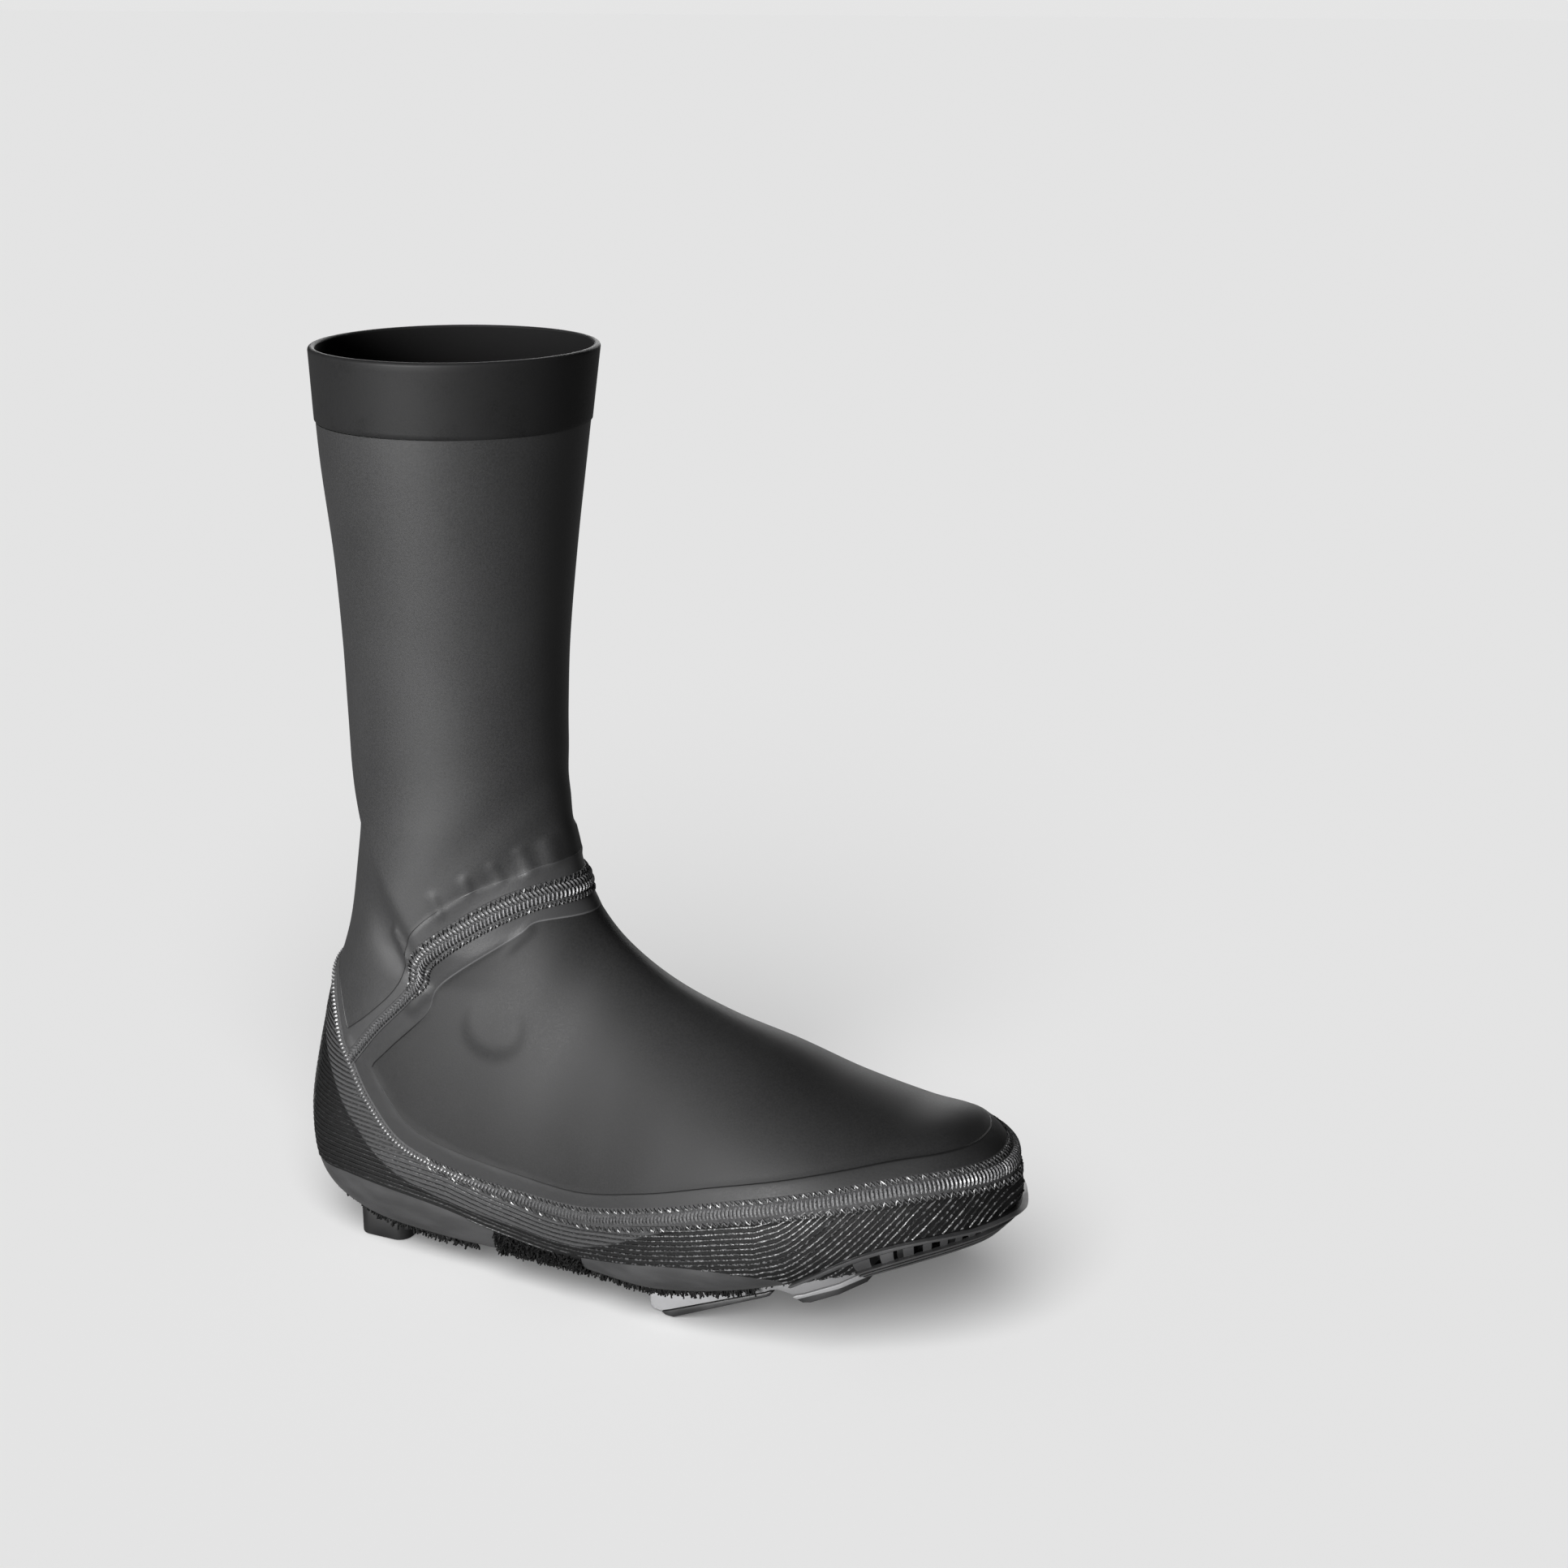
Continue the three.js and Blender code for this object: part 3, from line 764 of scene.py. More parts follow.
@dataclass
class ClothShell:
    """The one wall that all the cloth panels are cut from."""

    form: BootForm
    wall: float = WALL

    def shell(self, outside: float, inside: float, with_relief: bool = True) -> Piece:
        """A closed wall between two distances from the form.

        Args:
            outside: the outer face's distance.
            inside: the inner face's distance.
            with_relief: whether the outer face follows the folds and tapes.
        Returns:
            The wall as one solid.
        """
        outer = give_layers(form_skin(self.form, outside, with_relief), Layer.FACE)
        inner = give_layers(form_skin(self.form, inside, False), Layer.LINING)
        return cut(outer, inner, Cut.TAKE_AWAY)

    def without(self, wall: Piece, outlines: list[np.ndarray]) -> Piece:
        """Cuts side-view outlines out of a wall."""
        for outline in outlines:
            cut(wall, give_layers(side_block(outline), Layer.EDGE), Cut.TAKE_AWAY)
        return wall

    def within(self, wall: Piece, outline: np.ndarray) -> Piece:
        """Keeps what lies inside a side-view outline."""
        return cut(wall, give_layers(side_block(outline), Layer.EDGE), Cut.KEEP_INSIDE)

    def opened(self) -> Piece:
        """The cloth's wall with the openings under the foot cut out."""
        wall = self.shell(0, -self.wall)
        heel = plan_block(HEEL_OPENING.outline(), LOW, 24)
        cleat = plan_block(CLEAT_OPENING.outline(), LOW, 44)
        for block in (heel, cleat):
            cut(wall, give_layers(block, Layer.EDGE), Cut.TAKE_AWAY)
        rim = TOE_RIM_LINE[TOE_RIM_LINE[:, 0] > TOE_OPENING]
        toe = np.vstack(([[TOE_OPENING, LOW]], rim, [[RIGHT, LOW]]))
        return self.without(wall, [toe])


def below_ribs() -> np.ndarray:
    """The side-view outline of all that lies below the ribbed panel."""
    return np.vstack(([[LEFT, LOW]], RIB_EDGE_LINE[:-1], [[RIB_EDGE_LINE[-1, 0], LOW]]))


def below_side_seam() -> np.ndarray:
    """The side-view outline of all that lies below the side seam and the heel seam."""
    ends = [[RIGHT, SIDE_LINE[-1, 1]], [RIGHT, LOW], [LEFT, LOW], [LEFT, SIDE_LINE[0, 1]]]
    return np.vstack((SIDE_LINE, ends))


@dataclass
class Panels:
    """The cloth panels of the boot."""

    shell: ClothShell

    def leg(self, wall: Piece) -> Piece:
        """The leg from the hem down to the ankle seam and the heel seam."""
        hem = RIM_Z - CUFF_HEIGHT
        heel = SIDE_LINE[:JUNCTION][::-1]
        front = ANKLE_LINE[0, 0]
        outline = np.vstack((ANKLE_LINE, heel, [[LEFT, SIDE_LINE[0, 1]], [LEFT, hem], [front, hem]]))
        return self.shell.within(copy_of(wall, "leg_cloth"), outline)

    def foot(self, wall: Piece) -> Piece:
        """The top of the foot, between the ankle seam and the side seam."""
        ends = [[RIGHT, SIDE_LINE[-1, 1]], [RIGHT, ANKLE_LINE[0, 1]]]
        outline = np.vstack((ANKLE_LINE, SIDE_LINE[JUNCTION + 1:], ends))
        return self.shell.within(copy_of(wall, "foot_cloth"), outline)

    def rand(self, wall: Piece, name: str = "rand_cloth") -> Piece:
        """The ribbed panel round the heel, the sides and the toe."""
        panel = self.shell.within(copy_of(wall, name), below_side_seam())
        return self.shell.without(panel, [below_ribs()])

    def edging(self, wall: Piece, name: str, x0: float, x1: float) -> Piece:
        """A stretch of the band below the ribs."""
        panel = self.shell.within(copy_of(wall, name), below_ribs())
        return self.shell.within(panel, np.array([[x0, LOW], [x1, LOW], [x1, 60], [x0, 60]]))

    def cuff(self) -> Piece:
        """The doubled hem at the top of the leg, with a rounded top edge."""
        form = self.shell.form
        last = len(SECTIONS) - 1
        s = np.linspace(18, last, 1200)
        heights = form.points(s, np.zeros_like(s))[:, 2]
        low = RIM_Z - CUFF_HEIGHT
        outer = np.linspace(low, RIM_Z - 1.2, 15)
        radius = (self.shell.wall + CUFF_PROUD) / 2
        turn = np.linspace(0, math.pi, 9)[1:-1]
        lip = [(RIM_Z - radius + radius * math.sin(a), CUFF_PROUD - radius + radius * math.cos(a))
               for a in turn]
        outer_side = [(low, -0.2), (low, 0.25), (low + 0.4, CUFF_PROUD)]
        outer_side += [(z, CUFF_PROUD) for z in outer[1:]]
        inner_side = [(z, -self.shell.wall) for z in outer[::-1]]
        profile = outer_side + lip + inner_side
        around = 300
        theta = np.linspace(0, 2 * math.pi, around, endpoint=False)
        rings = []
        for z, offset in profile:
            row = np.full(around, np.interp(z, heights, s))
            rings.append(form.points(row, theta) + form.normals(row, theta) * offset)
        rings = np.array(rings)
        count = len(rings)
        faces = [[i * around + j, ((i + 1) % count) * around + j,
                  ((i + 1) % count) * around + (j + 1) % around, i * around + (j + 1) % around]
                 for i in range(count) for j in range(around)]
        piece = give_layers(mesh_piece("cuff_cloth", rings.reshape(-1, 3), faces), Layer.FACE)
        inside = len(outer_side) + len(lip)
        for face in piece.data.polygons:
            if face.index // around >= inside - 1:
                face.material_index = Layer.LINING.value
        return piece


@dataclass
class Ribs:
    """The raised ribs of the lower panel, as cords that lie half sunk in it."""

    pitch: float = RIB_PITCH
    radius: float = RIB_RADIUS

    def cords(self, panel: Piece) -> Piece:
        """Traces the ribs over a panel's face.

        Args:
            panel: a coarse copy of the panel, which is used up.
        Returns:
            The ribs as one mesh piece.
        """
        x, run, spread = (np.array(column, float) for column in zip(*RIB_RUN))
        bm = bmesh.new()
        bm.from_mesh(panel.data)
        rest = [face for face in bm.faces if face.material_index != Layer.FACE.value]
        bmesh.ops.delete(bm, geom=rest, context="FACES")
        fine = np.linspace(x[0], x[-1], 600)
        place = np.interp(fine, x, np.arange(len(x)))
        smooth = catmull_rom(np.column_stack((run, spread)), place)
        for vertex in bm.verts:
            height, wider = (np.interp(vertex.co.x, fine, column) for column in smooth.T)
            vertex.co.z = (vertex.co.z - height) / wider
        levels = [v.co.z for v in bm.verts]
        for level in np.arange(math.ceil(min(levels) / self.pitch) * self.pitch, max(levels), self.pitch):
            everything = bm.verts[:] + bm.edges[:] + bm.faces[:]
            bmesh.ops.bisect_plane(bm, geom=everything, dist=1e-5, plane_co=(0, 0, level),
                                   plane_no=(0, 0, 1))
        lines = {e for e in bm.edges if abs(e.verts[0].co.z - e.verts[1].co.z) < 1e-4
                 and abs(e.verts[0].co.z / self.pitch - round(e.verts[0].co.z / self.pitch)) < 1e-4}
        bmesh.ops.delete(bm, geom=[f for f in bm.faces], context="FACES_ONLY")
        bmesh.ops.delete(bm, geom=[e for e in bm.edges if e not in lines], context="EDGES")
        bmesh.ops.delete(bm, geom=[v for v in bm.verts if not v.link_edges], context="VERTS")
        for vertex in bm.verts:
            height, wider = (np.interp(vertex.co.x, fine, column) for column in smooth.T)
            vertex.co.z = vertex.co.z * wider + height
        mesh = bpy.data.meshes.new("ribs")
        bm.to_mesh(mesh)
        bm.free()
        discard(panel)
        piece = pick(placed("ribs", mesh))
        bpy.ops.object.convert(target="CURVE")
        piece.data.bevel_depth = self.radius
        piece.data.bevel_resolution = 1
        bpy.ops.object.convert(target="MESH")
        return piece


@dataclass
class SeamRibbon:
    """A strip of surface along a seam, over both sides of the boot, that stitches are laid out on."""

    form: BootForm
    line: np.ndarray
    half_width: float
    closed: bool
    narrow_until: float
    full_from: float
    narrow: float = 0.5
    levels: int = 13

    def __post_init__(self) -> None:
        """Works out the strip's points and normals."""
        self.offsets = np.linspace(-self.half_width, self.half_width, self.levels)
        fine = smooth_resample(self.line, 900)
        spans = [self.inside_span(beside(fine, offset)) for offset in self.offsets]
        middle = spans[self.levels // 2]
        length = travelled(middle[0])[-1]
        count = int(round(length))
        sides = []
        for side in Side:
            rows = []
            for points, s, theta in spans:
                way = travelled(points)
                at = np.linspace(0, way[-1], count + 1)
                angle = np.interp(at, way, theta)
                rows.append((np.interp(at, way, s), side.turned(angle)))
            sides.append(np.array(rows))
        if self.closed:
            both = np.concatenate((sides[0], sides[1][:, :, ::-1][:, :, 1:]), axis=2)
        else:
            both = np.concatenate((sides[0][:, :, ::-1], sides[1][:, :, 1:]), axis=2)
        s, theta = both[:, 0], both[:, 1]
        points, self.normals = self.form.points(s, theta), self.form.normals(s, theta)
        lift = relief(points.reshape(-1, 3), self.normals.reshape(-1, 3)).reshape(s.shape)
        self.points = points + self.normals * lift[..., None]
        self.length = float(2 * length)

    def inside_span(self, line: np.ndarray) -> tuple[np.ndarray, np.ndarray, np.ndarray]:
        """The part of a side-view line that lies on the form.

        Args:
            line: x and z of a fine line.
        Returns:
            Its points on the outer side, their section numbers and their angles.
        """
        index = np.arange(len(line), dtype=float)

        def on_form(at: np.ndarray) -> np.ndarray:
            places = np.column_stack((np.interp(at, index, line[:, 0]), np.interp(at, index, line[:, 1])))
            s, _, share = self.form.locate(places)
            return (share > 0) & (share < 1) & (s > 0.01)

        inside = np.nonzero(on_form(index))[0]
        ends = []
        for edge, outward in ((inside[0], -1), (inside[-1], 1)):
            at, width = float(edge), 1.0
            for _ in range(2):
                trial = np.clip(at + outward * np.linspace(0, width, 60), 0, index[-1])
                good = on_form(trial)
                last = len(good) - 1 if good.all() else int(np.argmin(good)) - 1
                at, width = float(trial[max(last, 0)]), width / 59
            ends.append(at)
        sweep = (1 - np.cos(np.linspace(0, math.pi, 700))) / 2
        at = ends[0] + (ends[1] - ends[0]) * sweep
        places = np.column_stack((np.interp(at, index, line[:, 0]), np.interp(at, index, line[:, 1])))
        s, theta, share = self.form.locate(places)
        for k in (0, -1):
            if min(share[k], 1 - share[k]) < 0.02:
                theta[k] = 0.0 if share[k] > 0.5 else math.pi
        return self.form.points(s, theta), s, theta

    def at(self, along: np.ndarray, across: np.ndarray, lift: np.ndarray) -> np.ndarray:
        """Points on or over the strip.

        Args:
            along: distances along the seam, in millimetres.
            across: distances from its middle.
            lift: distances above the cloth.
        Returns:
            x, y and z of each point.
        """
        along, across, lift = np.broadcast_arrays(*np.atleast_1d(along, across, lift))
        from_end = np.minimum(along, self.length - along)
        width = ease((from_end - self.narrow_until) / (self.full_from - self.narrow_until))
        width = self.narrow + (1 - self.narrow) * width
        across, lift = across * width, lift * (0.4 + 0.6 * width)
        last = self.points.shape[1] - 1
        share = along / self.length
        u = (np.mod(share, 1.0) if self.closed else np.clip(share, 0, 1)) * last
        v = (np.clip(across / self.half_width, -1, 1) + 1) / 2 * (self.levels - 1)
        i, j = np.minimum(u.astype(int), last - 1), np.minimum(v.astype(int), self.levels - 2)
        fu, fv = (u - i)[:, None], (v - j)[:, None]

        def blend(grid: np.ndarray) -> np.ndarray:
            low = grid[j, i] * (1 - fu) + grid[j, i + 1] * fu
            high = grid[j + 1, i] * (1 - fu) + grid[j + 1, i + 1] * fu
            return low * (1 - fv) + high * fv

        return blend(self.points) + blend(self.normals) * lift[:, None]

    def strip(self, name: str, heights: list[tuple[float, float]]) -> Piece:
        """A raised strip of doubled cloth along the seam.

        Args:
            name: the piece's name.
            heights: distance from the middle and height above the cloth, across the strip.
        Returns:
            The strip, closed round its section.
        """
        steps = self.points.shape[1]
        along = np.linspace(0, self.length, steps)
        profile = heights + [(heights[-1][0], -0.3), (heights[0][0], -0.3)]
        rows = np.array([self.at(along, np.full(steps, w), np.full(steps, h)) for w, h in profile])
        count = len(rows)
        faces = []
        for i in range(count):
            nxt = (i + 1) % count
            for j in range(steps - 1):
                k = (j + 1) % (steps - 1) if self.closed else j + 1
                faces.append([i * steps + j, i * steps + k, nxt * steps + k, nxt * steps + j])
        if not self.closed:
            faces.append([i * steps for i in range(count)][::-1])
            faces.append([i * steps + steps - 1 for i in range(count)])
        piece = mesh_piece(name, rows.reshape(-1, 3), faces)
        with editing(piece):
            bpy.ops.mesh.delete_loose()
            bpy.ops.mesh.select_all(action="SELECT")
            bpy.ops.mesh.normals_make_consistent(inside=False)
        return piece


@dataclass(frozen=True)
class Zigzag:
    """One thread that swings from side to side along a seam."""

    middle: float
    swing: float
    pitch: float
    lift: float = 0.3

    def paths(self, ribbon: SeamRibbon, start: float, end: float) -> list[np.ndarray]:
        """The thread's path between two distances along the seam."""
        count = int((end - start) / (self.pitch / 4))
        k = np.arange(count)
        along = start + k * self.pitch / 4 + np.where(k % 2 == 1, 0, self.pitch * 0.07)
        across = self.middle + self.swing * np.array([1, 0.0, -1, 0.0])[k % 4]
        lift = self.lift + 0.25 * np.array([0, 1, 0, -0.4])[k % 4]
        return [ribbon.at(along, across, lift)]


@dataclass(frozen=True)
class Bars:
    """Short threads side by side across a seam, each arched over it."""

    low: float
    high: float
    pitch: float
    slant: float
    lift: float = 0.25
    arch: float = 0.45

    def paths(self, ribbon: SeamRibbon, start: float, end: float) -> list[np.ndarray]:
        """The threads' paths between two distances along the seam."""
        share = np.linspace(0, 1, 5)
        across = self.low + (self.high - self.low) * share
        lift = self.lift + self.arch * np.sin(math.pi * share) - 0.25 * (np.abs(share - 0.5) > 0.4)
        return [ribbon.at(at + self.slant * share, across, lift)
                for at in np.arange(start, end - abs(self.slant), self.pitch)]


def threads(name: str, paths: list[np.ndarray], radius: float) -> Piece:
    """Round threads along paths, as one mesh piece."""
    curve = bpy.data.curves.new(name, "CURVE")
    curve.dimensions = "3D"
    for path in paths:
        spline = curve.splines.new("POLY")
        spline.points.add(len(path) - 1)
        spline.points.foreach_set("co", np.column_stack((path, np.ones(len(path)))).ravel())
    curve.bevel_depth = radius
    curve.bevel_resolution = 0
    curve.use_fill_caps = True
    piece = pick(placed(name, curve))
    bpy.ops.object.convert(target="MESH")
    return piece


@dataclass
class Fuzz:
    """Frayed hems and loop pile, as short threads that stand out from the cloth at seeded places."""

    seed: int = SEED
    hem_step: float = 1.1
    hem_share: float = 0.75
    hem_droop: float = 0.7
    fringe_each: int = 2
    fringe_reach: tuple[float, float] = (0.2, 1.6)
    fringe_droop: float = 0.5
    loop_height: tuple[float, float] = (0.9, 1.9)
    loop_lean: float = 0.9
    loop_swing: float = 0.8

    def __post_init__(self) -> None:
        """Starts the seeded numbers."""
        self.chance = random.Random(self.seed)

    def jitter(self, reach: float) -> np.ndarray:
        """A small random step."""
        return np.array([self.chance.uniform(-reach, reach) for _ in range(3)])

    def hem(self, wall: Piece, outline: list[tuple[float, float]], x0: float, x1: float) -> list[np.ndarray]:
        """Paths of the frayed edge of an opening under the foot.

        Args:
            wall: the opened cloth.
            outline: the opening's outline in plan.
            x0: where the hem starts along the foot.
            x1: where it ends.
        Returns:
            A wavy edge cord in short lengths, and stray fibres.
        """
        upward = Vector((0, 0, 1))
        tree = BVHTree.FromObject(wall, bpy.context.evaluated_depsgraph_get())
        closed = np.vstack((outline, outline[:1]))
        way = travelled(closed)
        at = np.arange(0, way[-1], self.hem_step)
        edge = np.column_stack([np.interp(at, way, closed[:, k]) for k in (0, 1)])
        centre = closed.mean(axis=0)
        paths, run = [], []
        for x, y in edge:
            outward = np.array([x, y]) - centre
            outward /= np.hypot(*outward)
            foot = Vector((x + outward[0] * 0.7, y + outward[1] * 0.7, LOW))
            hit = tree.ray_cast(foot, upward)[0]
            if hit is None or not x0 <= x <= x1:
                if len(run) > 1:
                    paths.append(np.array(run))
                run = []
                continue
            point = np.array([x, y, hit.z + 0.6]) + self.jitter(0.35)
            run.append(point)
            if self.chance.random() < self.hem_share:
                tip = point + self.jitter(1.0) - (0, 0, self.hem_droop)
                paths.append(np.array([point, (point + tip) / 2 + self.jitter(0.5), tip]))
        if len(run) > 1:
            paths.append(np.array(run))
        return paths

    def fringe(self, form: BootForm, first: float, last: float, drop: float) -> list[np.ndarray]:
        """Paths of the frayed lower edge of a band, where the cloth turns under the foot.

        Args:
            form: the boot's form.
            first: section number where the fringe starts.
            last: section number where it ends.
            drop: downward part of the normal where the fringe runs.
        Returns:
            An edge cord on each side, and stray fibres.
        """
        paths = []
        for side in Side:
            s = np.linspace(first, last, 170)
            theta = np.linspace(math.pi * 0.5, math.pi * 0.98, 80)
            grid_s, grid_t = np.meshgrid(s, theta, indexing="ij")
            down = -form.normals(grid_s, grid_t)[..., 2]
            turned = (down > drop).any(axis=1)
            s, angle = s[turned], theta[np.argmax(down > drop, axis=1)][turned]
            angle = side.turned(angle)
            points, normals = form.points(s, angle), form.normals(s, angle)
            cord = [p + n * 0.35 + self.jitter(0.3) for p, n in zip(points, normals)]
            paths.append(np.array(cord))
            for point, normal in zip(cord, normals):
                for _ in range(self.fringe_each):
                    tip = point + normal * self.chance.uniform(*self.fringe_reach) + self.jitter(0.9)
                    tip = tip - (0, 0, self.fringe_droop)
                    paths.append(np.array([point, (point + tip) / 2 + self.jitter(0.4), tip]))
        return paths

    def loops(self, patch: Piece, spacing: float) -> list[np.ndarray]:
        """Paths of small loops that stand on a patch's face.

        Args:
            patch: the cloth patch.
            spacing: millimetres between loops.
        Returns:
            The loops.
        """
        paths = []
        vertices = patch.data.vertices
        for face in patch.data.polygons:
            if face.material_index != Layer.FACE.value:
                continue
            corners = np.array([vertices[i].co for i in face.vertices])
            wanted = face.area / spacing ** 2
            for _ in range(int(wanted) + (self.chance.random() < wanted % 1)):
                weights = np.array([self.chance.random() for _ in corners]) + 0.01
                foot = (corners * (weights / weights.sum())[:, None]).sum(axis=0)
                out = np.array(face.normal) * self.chance.uniform(*self.loop_height)
                lean, swing = self.jitter(self.loop_lean), self.jitter(self.loop_swing)
                paths.append(np.array([foot - swing, foot - swing * 0.7 + out * 0.7 + lean * 0.5,
                                       foot + out + lean, foot + swing * 0.7 + out * 0.6 + lean * 0.5,
                                       foot + swing]))
        return paths


# Finishes


class Nodes:
    """A material's node tree, with short ways to add nodes and join them."""

    def __init__(self, name: str) -> None:
        """Starts a material with one shader.

        Args:
            name: the material's name.
        """
        self.material = bpy.data.materials.new(name)
        self.material.use_nodes = True
        self.tree = self.material.node_tree
        self.shader = self.tree.nodes["Principled BSDF"]
        self.object_place = self.tree.nodes.new("ShaderNodeTexCoord").outputs["Object"]

    def set(self, **values: float | tuple) -> None:
        """Sets the shader's own sockets, with _ for a space in a socket's name."""
        for key, value in values.items():
            self.shader.inputs[key.replace("_", " ")].default_value = value

    def link(self, source: Socket, node: bpy.types.Node, socket: str | int) -> None:
        """Joins an output to a node's input."""
        self.tree.links.new(source, node.inputs[socket])

    def noise(self, scale: float, detail: float = 3.0, stretch: tuple = (1, 1, 1)) -> Socket:
        """Noise at a scale per metre, stretched along the axes.

        Args:
            scale: waves in a metre.
            detail: octaves.
            stretch: how many times finer it is along x, y and z.
        Returns:
            The noise from 0 to 1.
        """
        place = self.object_place
        if stretch != (1, 1, 1):
            mapping = self.tree.nodes.new("ShaderNodeMapping")
            mapping.inputs["Scale"].default_value = stretch
            self.link(place, mapping, "Vector")
            place = mapping.outputs["Vector"]
        node = self.tree.nodes.new("ShaderNodeTexNoise")
        node.inputs["Scale"].default_value = scale
        node.inputs["Detail"].default_value = detail
        self.link(place, node, "Vector")
        return node.outputs["Fac"]

    def place(self, name: str) -> Socket:
        """The place along X, Y or Z, in metres."""
        split = self.tree.nodes.new("ShaderNodeSeparateXYZ")
        self.link(self.object_place, split, "Vector")
        return split.outputs[name]

    def attribute(self, name: str) -> Socket:
        """A number that the mesh carries at its points."""
        node = self.tree.nodes.new("ShaderNodeAttribute")
        node.attribute_name = name
        return node.outputs["Fac"]

    def math(self, operation: str, first: object, second: object = 0.0) -> Socket:
        """A sum or other operation on two values or outputs."""
        node = self.tree.nodes.new("ShaderNodeMath")
        node.operation = operation
        for index, value in enumerate((first, second)):
            if isinstance(value, Socket):
                self.link(value, node, index)
            else:
                node.inputs[index].default_value = value
        return node.outputs[0]

    def ramp(self, source: Socket, low: float, high: float, to_low: float = 0.0,
             to_high: float = 1.0) -> Socket:
        """A smooth step of an output.

        Args:
            source: the output to read.
            low: where the step starts.
            high: where it ends.
            to_low: the result up to low.
            to_high: the result from high.
        Returns:
            The stepped value.
        """
        node = self.tree.nodes.new("ShaderNodeMapRange")
        node.interpolation_type = "SMOOTHSTEP"
        for socket, value in zip(("From Min", "From Max", "To Min", "To Max"), (low, high, to_low, to_high)):
            node.inputs[socket].default_value = value
        self.link(source, node, "Value")
        return node.outputs["Result"]

    def mix(self, share: Socket, first: object, second: object) -> Socket:
        """Mixes two greys or colours."""
        node = self.tree.nodes.new("ShaderNodeMix")
        node.data_type = "RGBA"
        self.link(share, node, "Factor")
        for socket, value in ((node.inputs[6], first), (node.inputs[7], second)):
            if isinstance(value, Socket):
                self.tree.links.new(value, socket)
            else:
                socket.default_value = (value, value, value * 1.02, 1)
        return node.outputs[2]

    def colour(self, source: Socket) -> None:
        """Makes an output the surface's colour."""
        self.link(source, self.shader, "Base Color")

    def roughness(self, source: Socket) -> None:
        """Makes an output the surface's roughness."""
        self.link(source, self.shader, "Roughness")

    def bump(self, height: Socket, depth: float, strength: float = 1.0) -> None:
        """Adds relief to the surface.

        Args:
            height: the relief from 0 to 1.
            depth: how deep 1 is, in metres.
            strength: how much of it is used.
        """
        node = self.tree.nodes.new("ShaderNodeBump")
        node.inputs["Distance"].default_value = depth
        node.inputs["Strength"].default_value = strength
        self.link(height, node, "Height")
        before = self.shader.inputs["Normal"]
        if before.is_linked:
            self.link(before.links[0].from_socket, node, "Normal")
        self.link(node.outputs["Normal"], self.shader, "Normal")


@dataclass(frozen=True)
class StretchCloth:
    """Dark grey laminated stretch cloth with bonded tapes behind its seams; the tapes and their edge lines
    carry painted sheen and painted shade.
    """

    name: str = "stretch_cloth"
    dark: float = 0.013
    light: float = 0.021
    # Tone of the tapes where their painted sheen is full.
    tape: float = 0.045
    rough: float = 0.5
    mottle: float = 0.5
    specular: float = 0.32

    def material(self) -> bpy.types.Material:
        """Builds the material."""
        n = Nodes(self.name)
        n.set(Specular_IOR_Level=self.specular)
        grain = n.noise(1500, 4)
        cloud = n.noise(60 if self.mottle > 0.6 else 24, 4)
        shade = n.math("ADD", n.math("MULTIPLY", grain, 0.7), n.math("MULTIPLY", cloud, self.mottle))
        base = n.mix(n.ramp(shade, 0.35, 0.85), self.dark, self.light)
        inset = n.attribute("tape")
        taped = n.ramp(inset, -0.15, 0.25)
        # The tapes' edge line and painted sheen: a tape is lighter by the painted sheen's share, and its
        # edge line is a painted shade line where that sheen is weak and a painted highlight where it is
        # strong.
        line = n.math("MULTIPLY", n.ramp(inset, -0.25, 0.1), n.ramp(inset, 0.2, 0.6, 1.0, 0.0))
        painted_sheen = n.attribute("painted_sheen")
        bonded = n.mix(n.math("MULTIPLY", taped, painted_sheen), base, self.tape)
        n.colour(n.mix(line, bonded, n.mix(n.ramp(painted_sheen, 0.4, 0.7), self.dark * 0.75, self.tape * 2.5)))
        n.roughness(n.ramp(n.math("SUBTRACT", grain, n.math("MULTIPLY", taped, painted_sheen)), -0.6, 0.8,
                           self.rough - 0.2, self.rough + 0.08))
        n.bump(grain, 0.00006, 0.5)
        n.bump(taped, 0.00022, 0.8)
        return n.material


@dataclass(frozen=True)
class Grained:
    """A plain finish whose colour, roughness and relief all follow one fine grain.

    The shades are shares of the tone. Rough holds the grain's range and the roughness at its two ends.
    """

    name: str
    tone: float
    shades: tuple[float, float]
    waves: float
    detail: float
    rough: tuple[float, float, float, float]
    depth: float
    strength: float = 0.5
    stretch: tuple[float, float, float] = (1, 1, 1)
    specular: float = 0.5
    metallic: float = 0.0

    def material(self) -> bpy.types.Material:
        """Builds the material."""
        n = Nodes(self.name)
        n.set(Specular_IOR_Level=self.specular, Metallic=self.metallic)
        grain = n.noise(self.waves, self.detail, self.stretch)
        low, high = self.shades
        n.colour(n.mix(grain, self.tone * low, self.tone * high))
        n.roughness(n.ramp(grain, *self.rough))
        n.bump(grain, self.depth, self.strength)
        return n.material


@dataclass(frozen=True)
class RibbedCloth:
    """Black ribbed cloth, paler where a tape lies behind it."""

    tone: float = 0.002
    taped: float = 0.034
    rough: float = 0.55

    def material(self) -> bpy.types.Material:
        """Builds the material."""
        n = Nodes("ribbed_cloth")
        n.set(Specular_IOR_Level=0.2)
        yarn = n.noise(1100, 3)
        taped = n.ramp(n.attribute("tape"), -0.2, 0.5)
        base = n.mix(yarn, self.tone * 0.5, self.tone * 1.6)
        n.colour(n.mix(taped, base, n.mix(yarn, self.taped * 0.5, self.taped * 1.4)))
        n.roughness(n.ramp(yarn, 0.3, 0.7, self.rough, self.rough + 0.2))
        n.bump(yarn, 0.0002, 0.7)
        return n.material


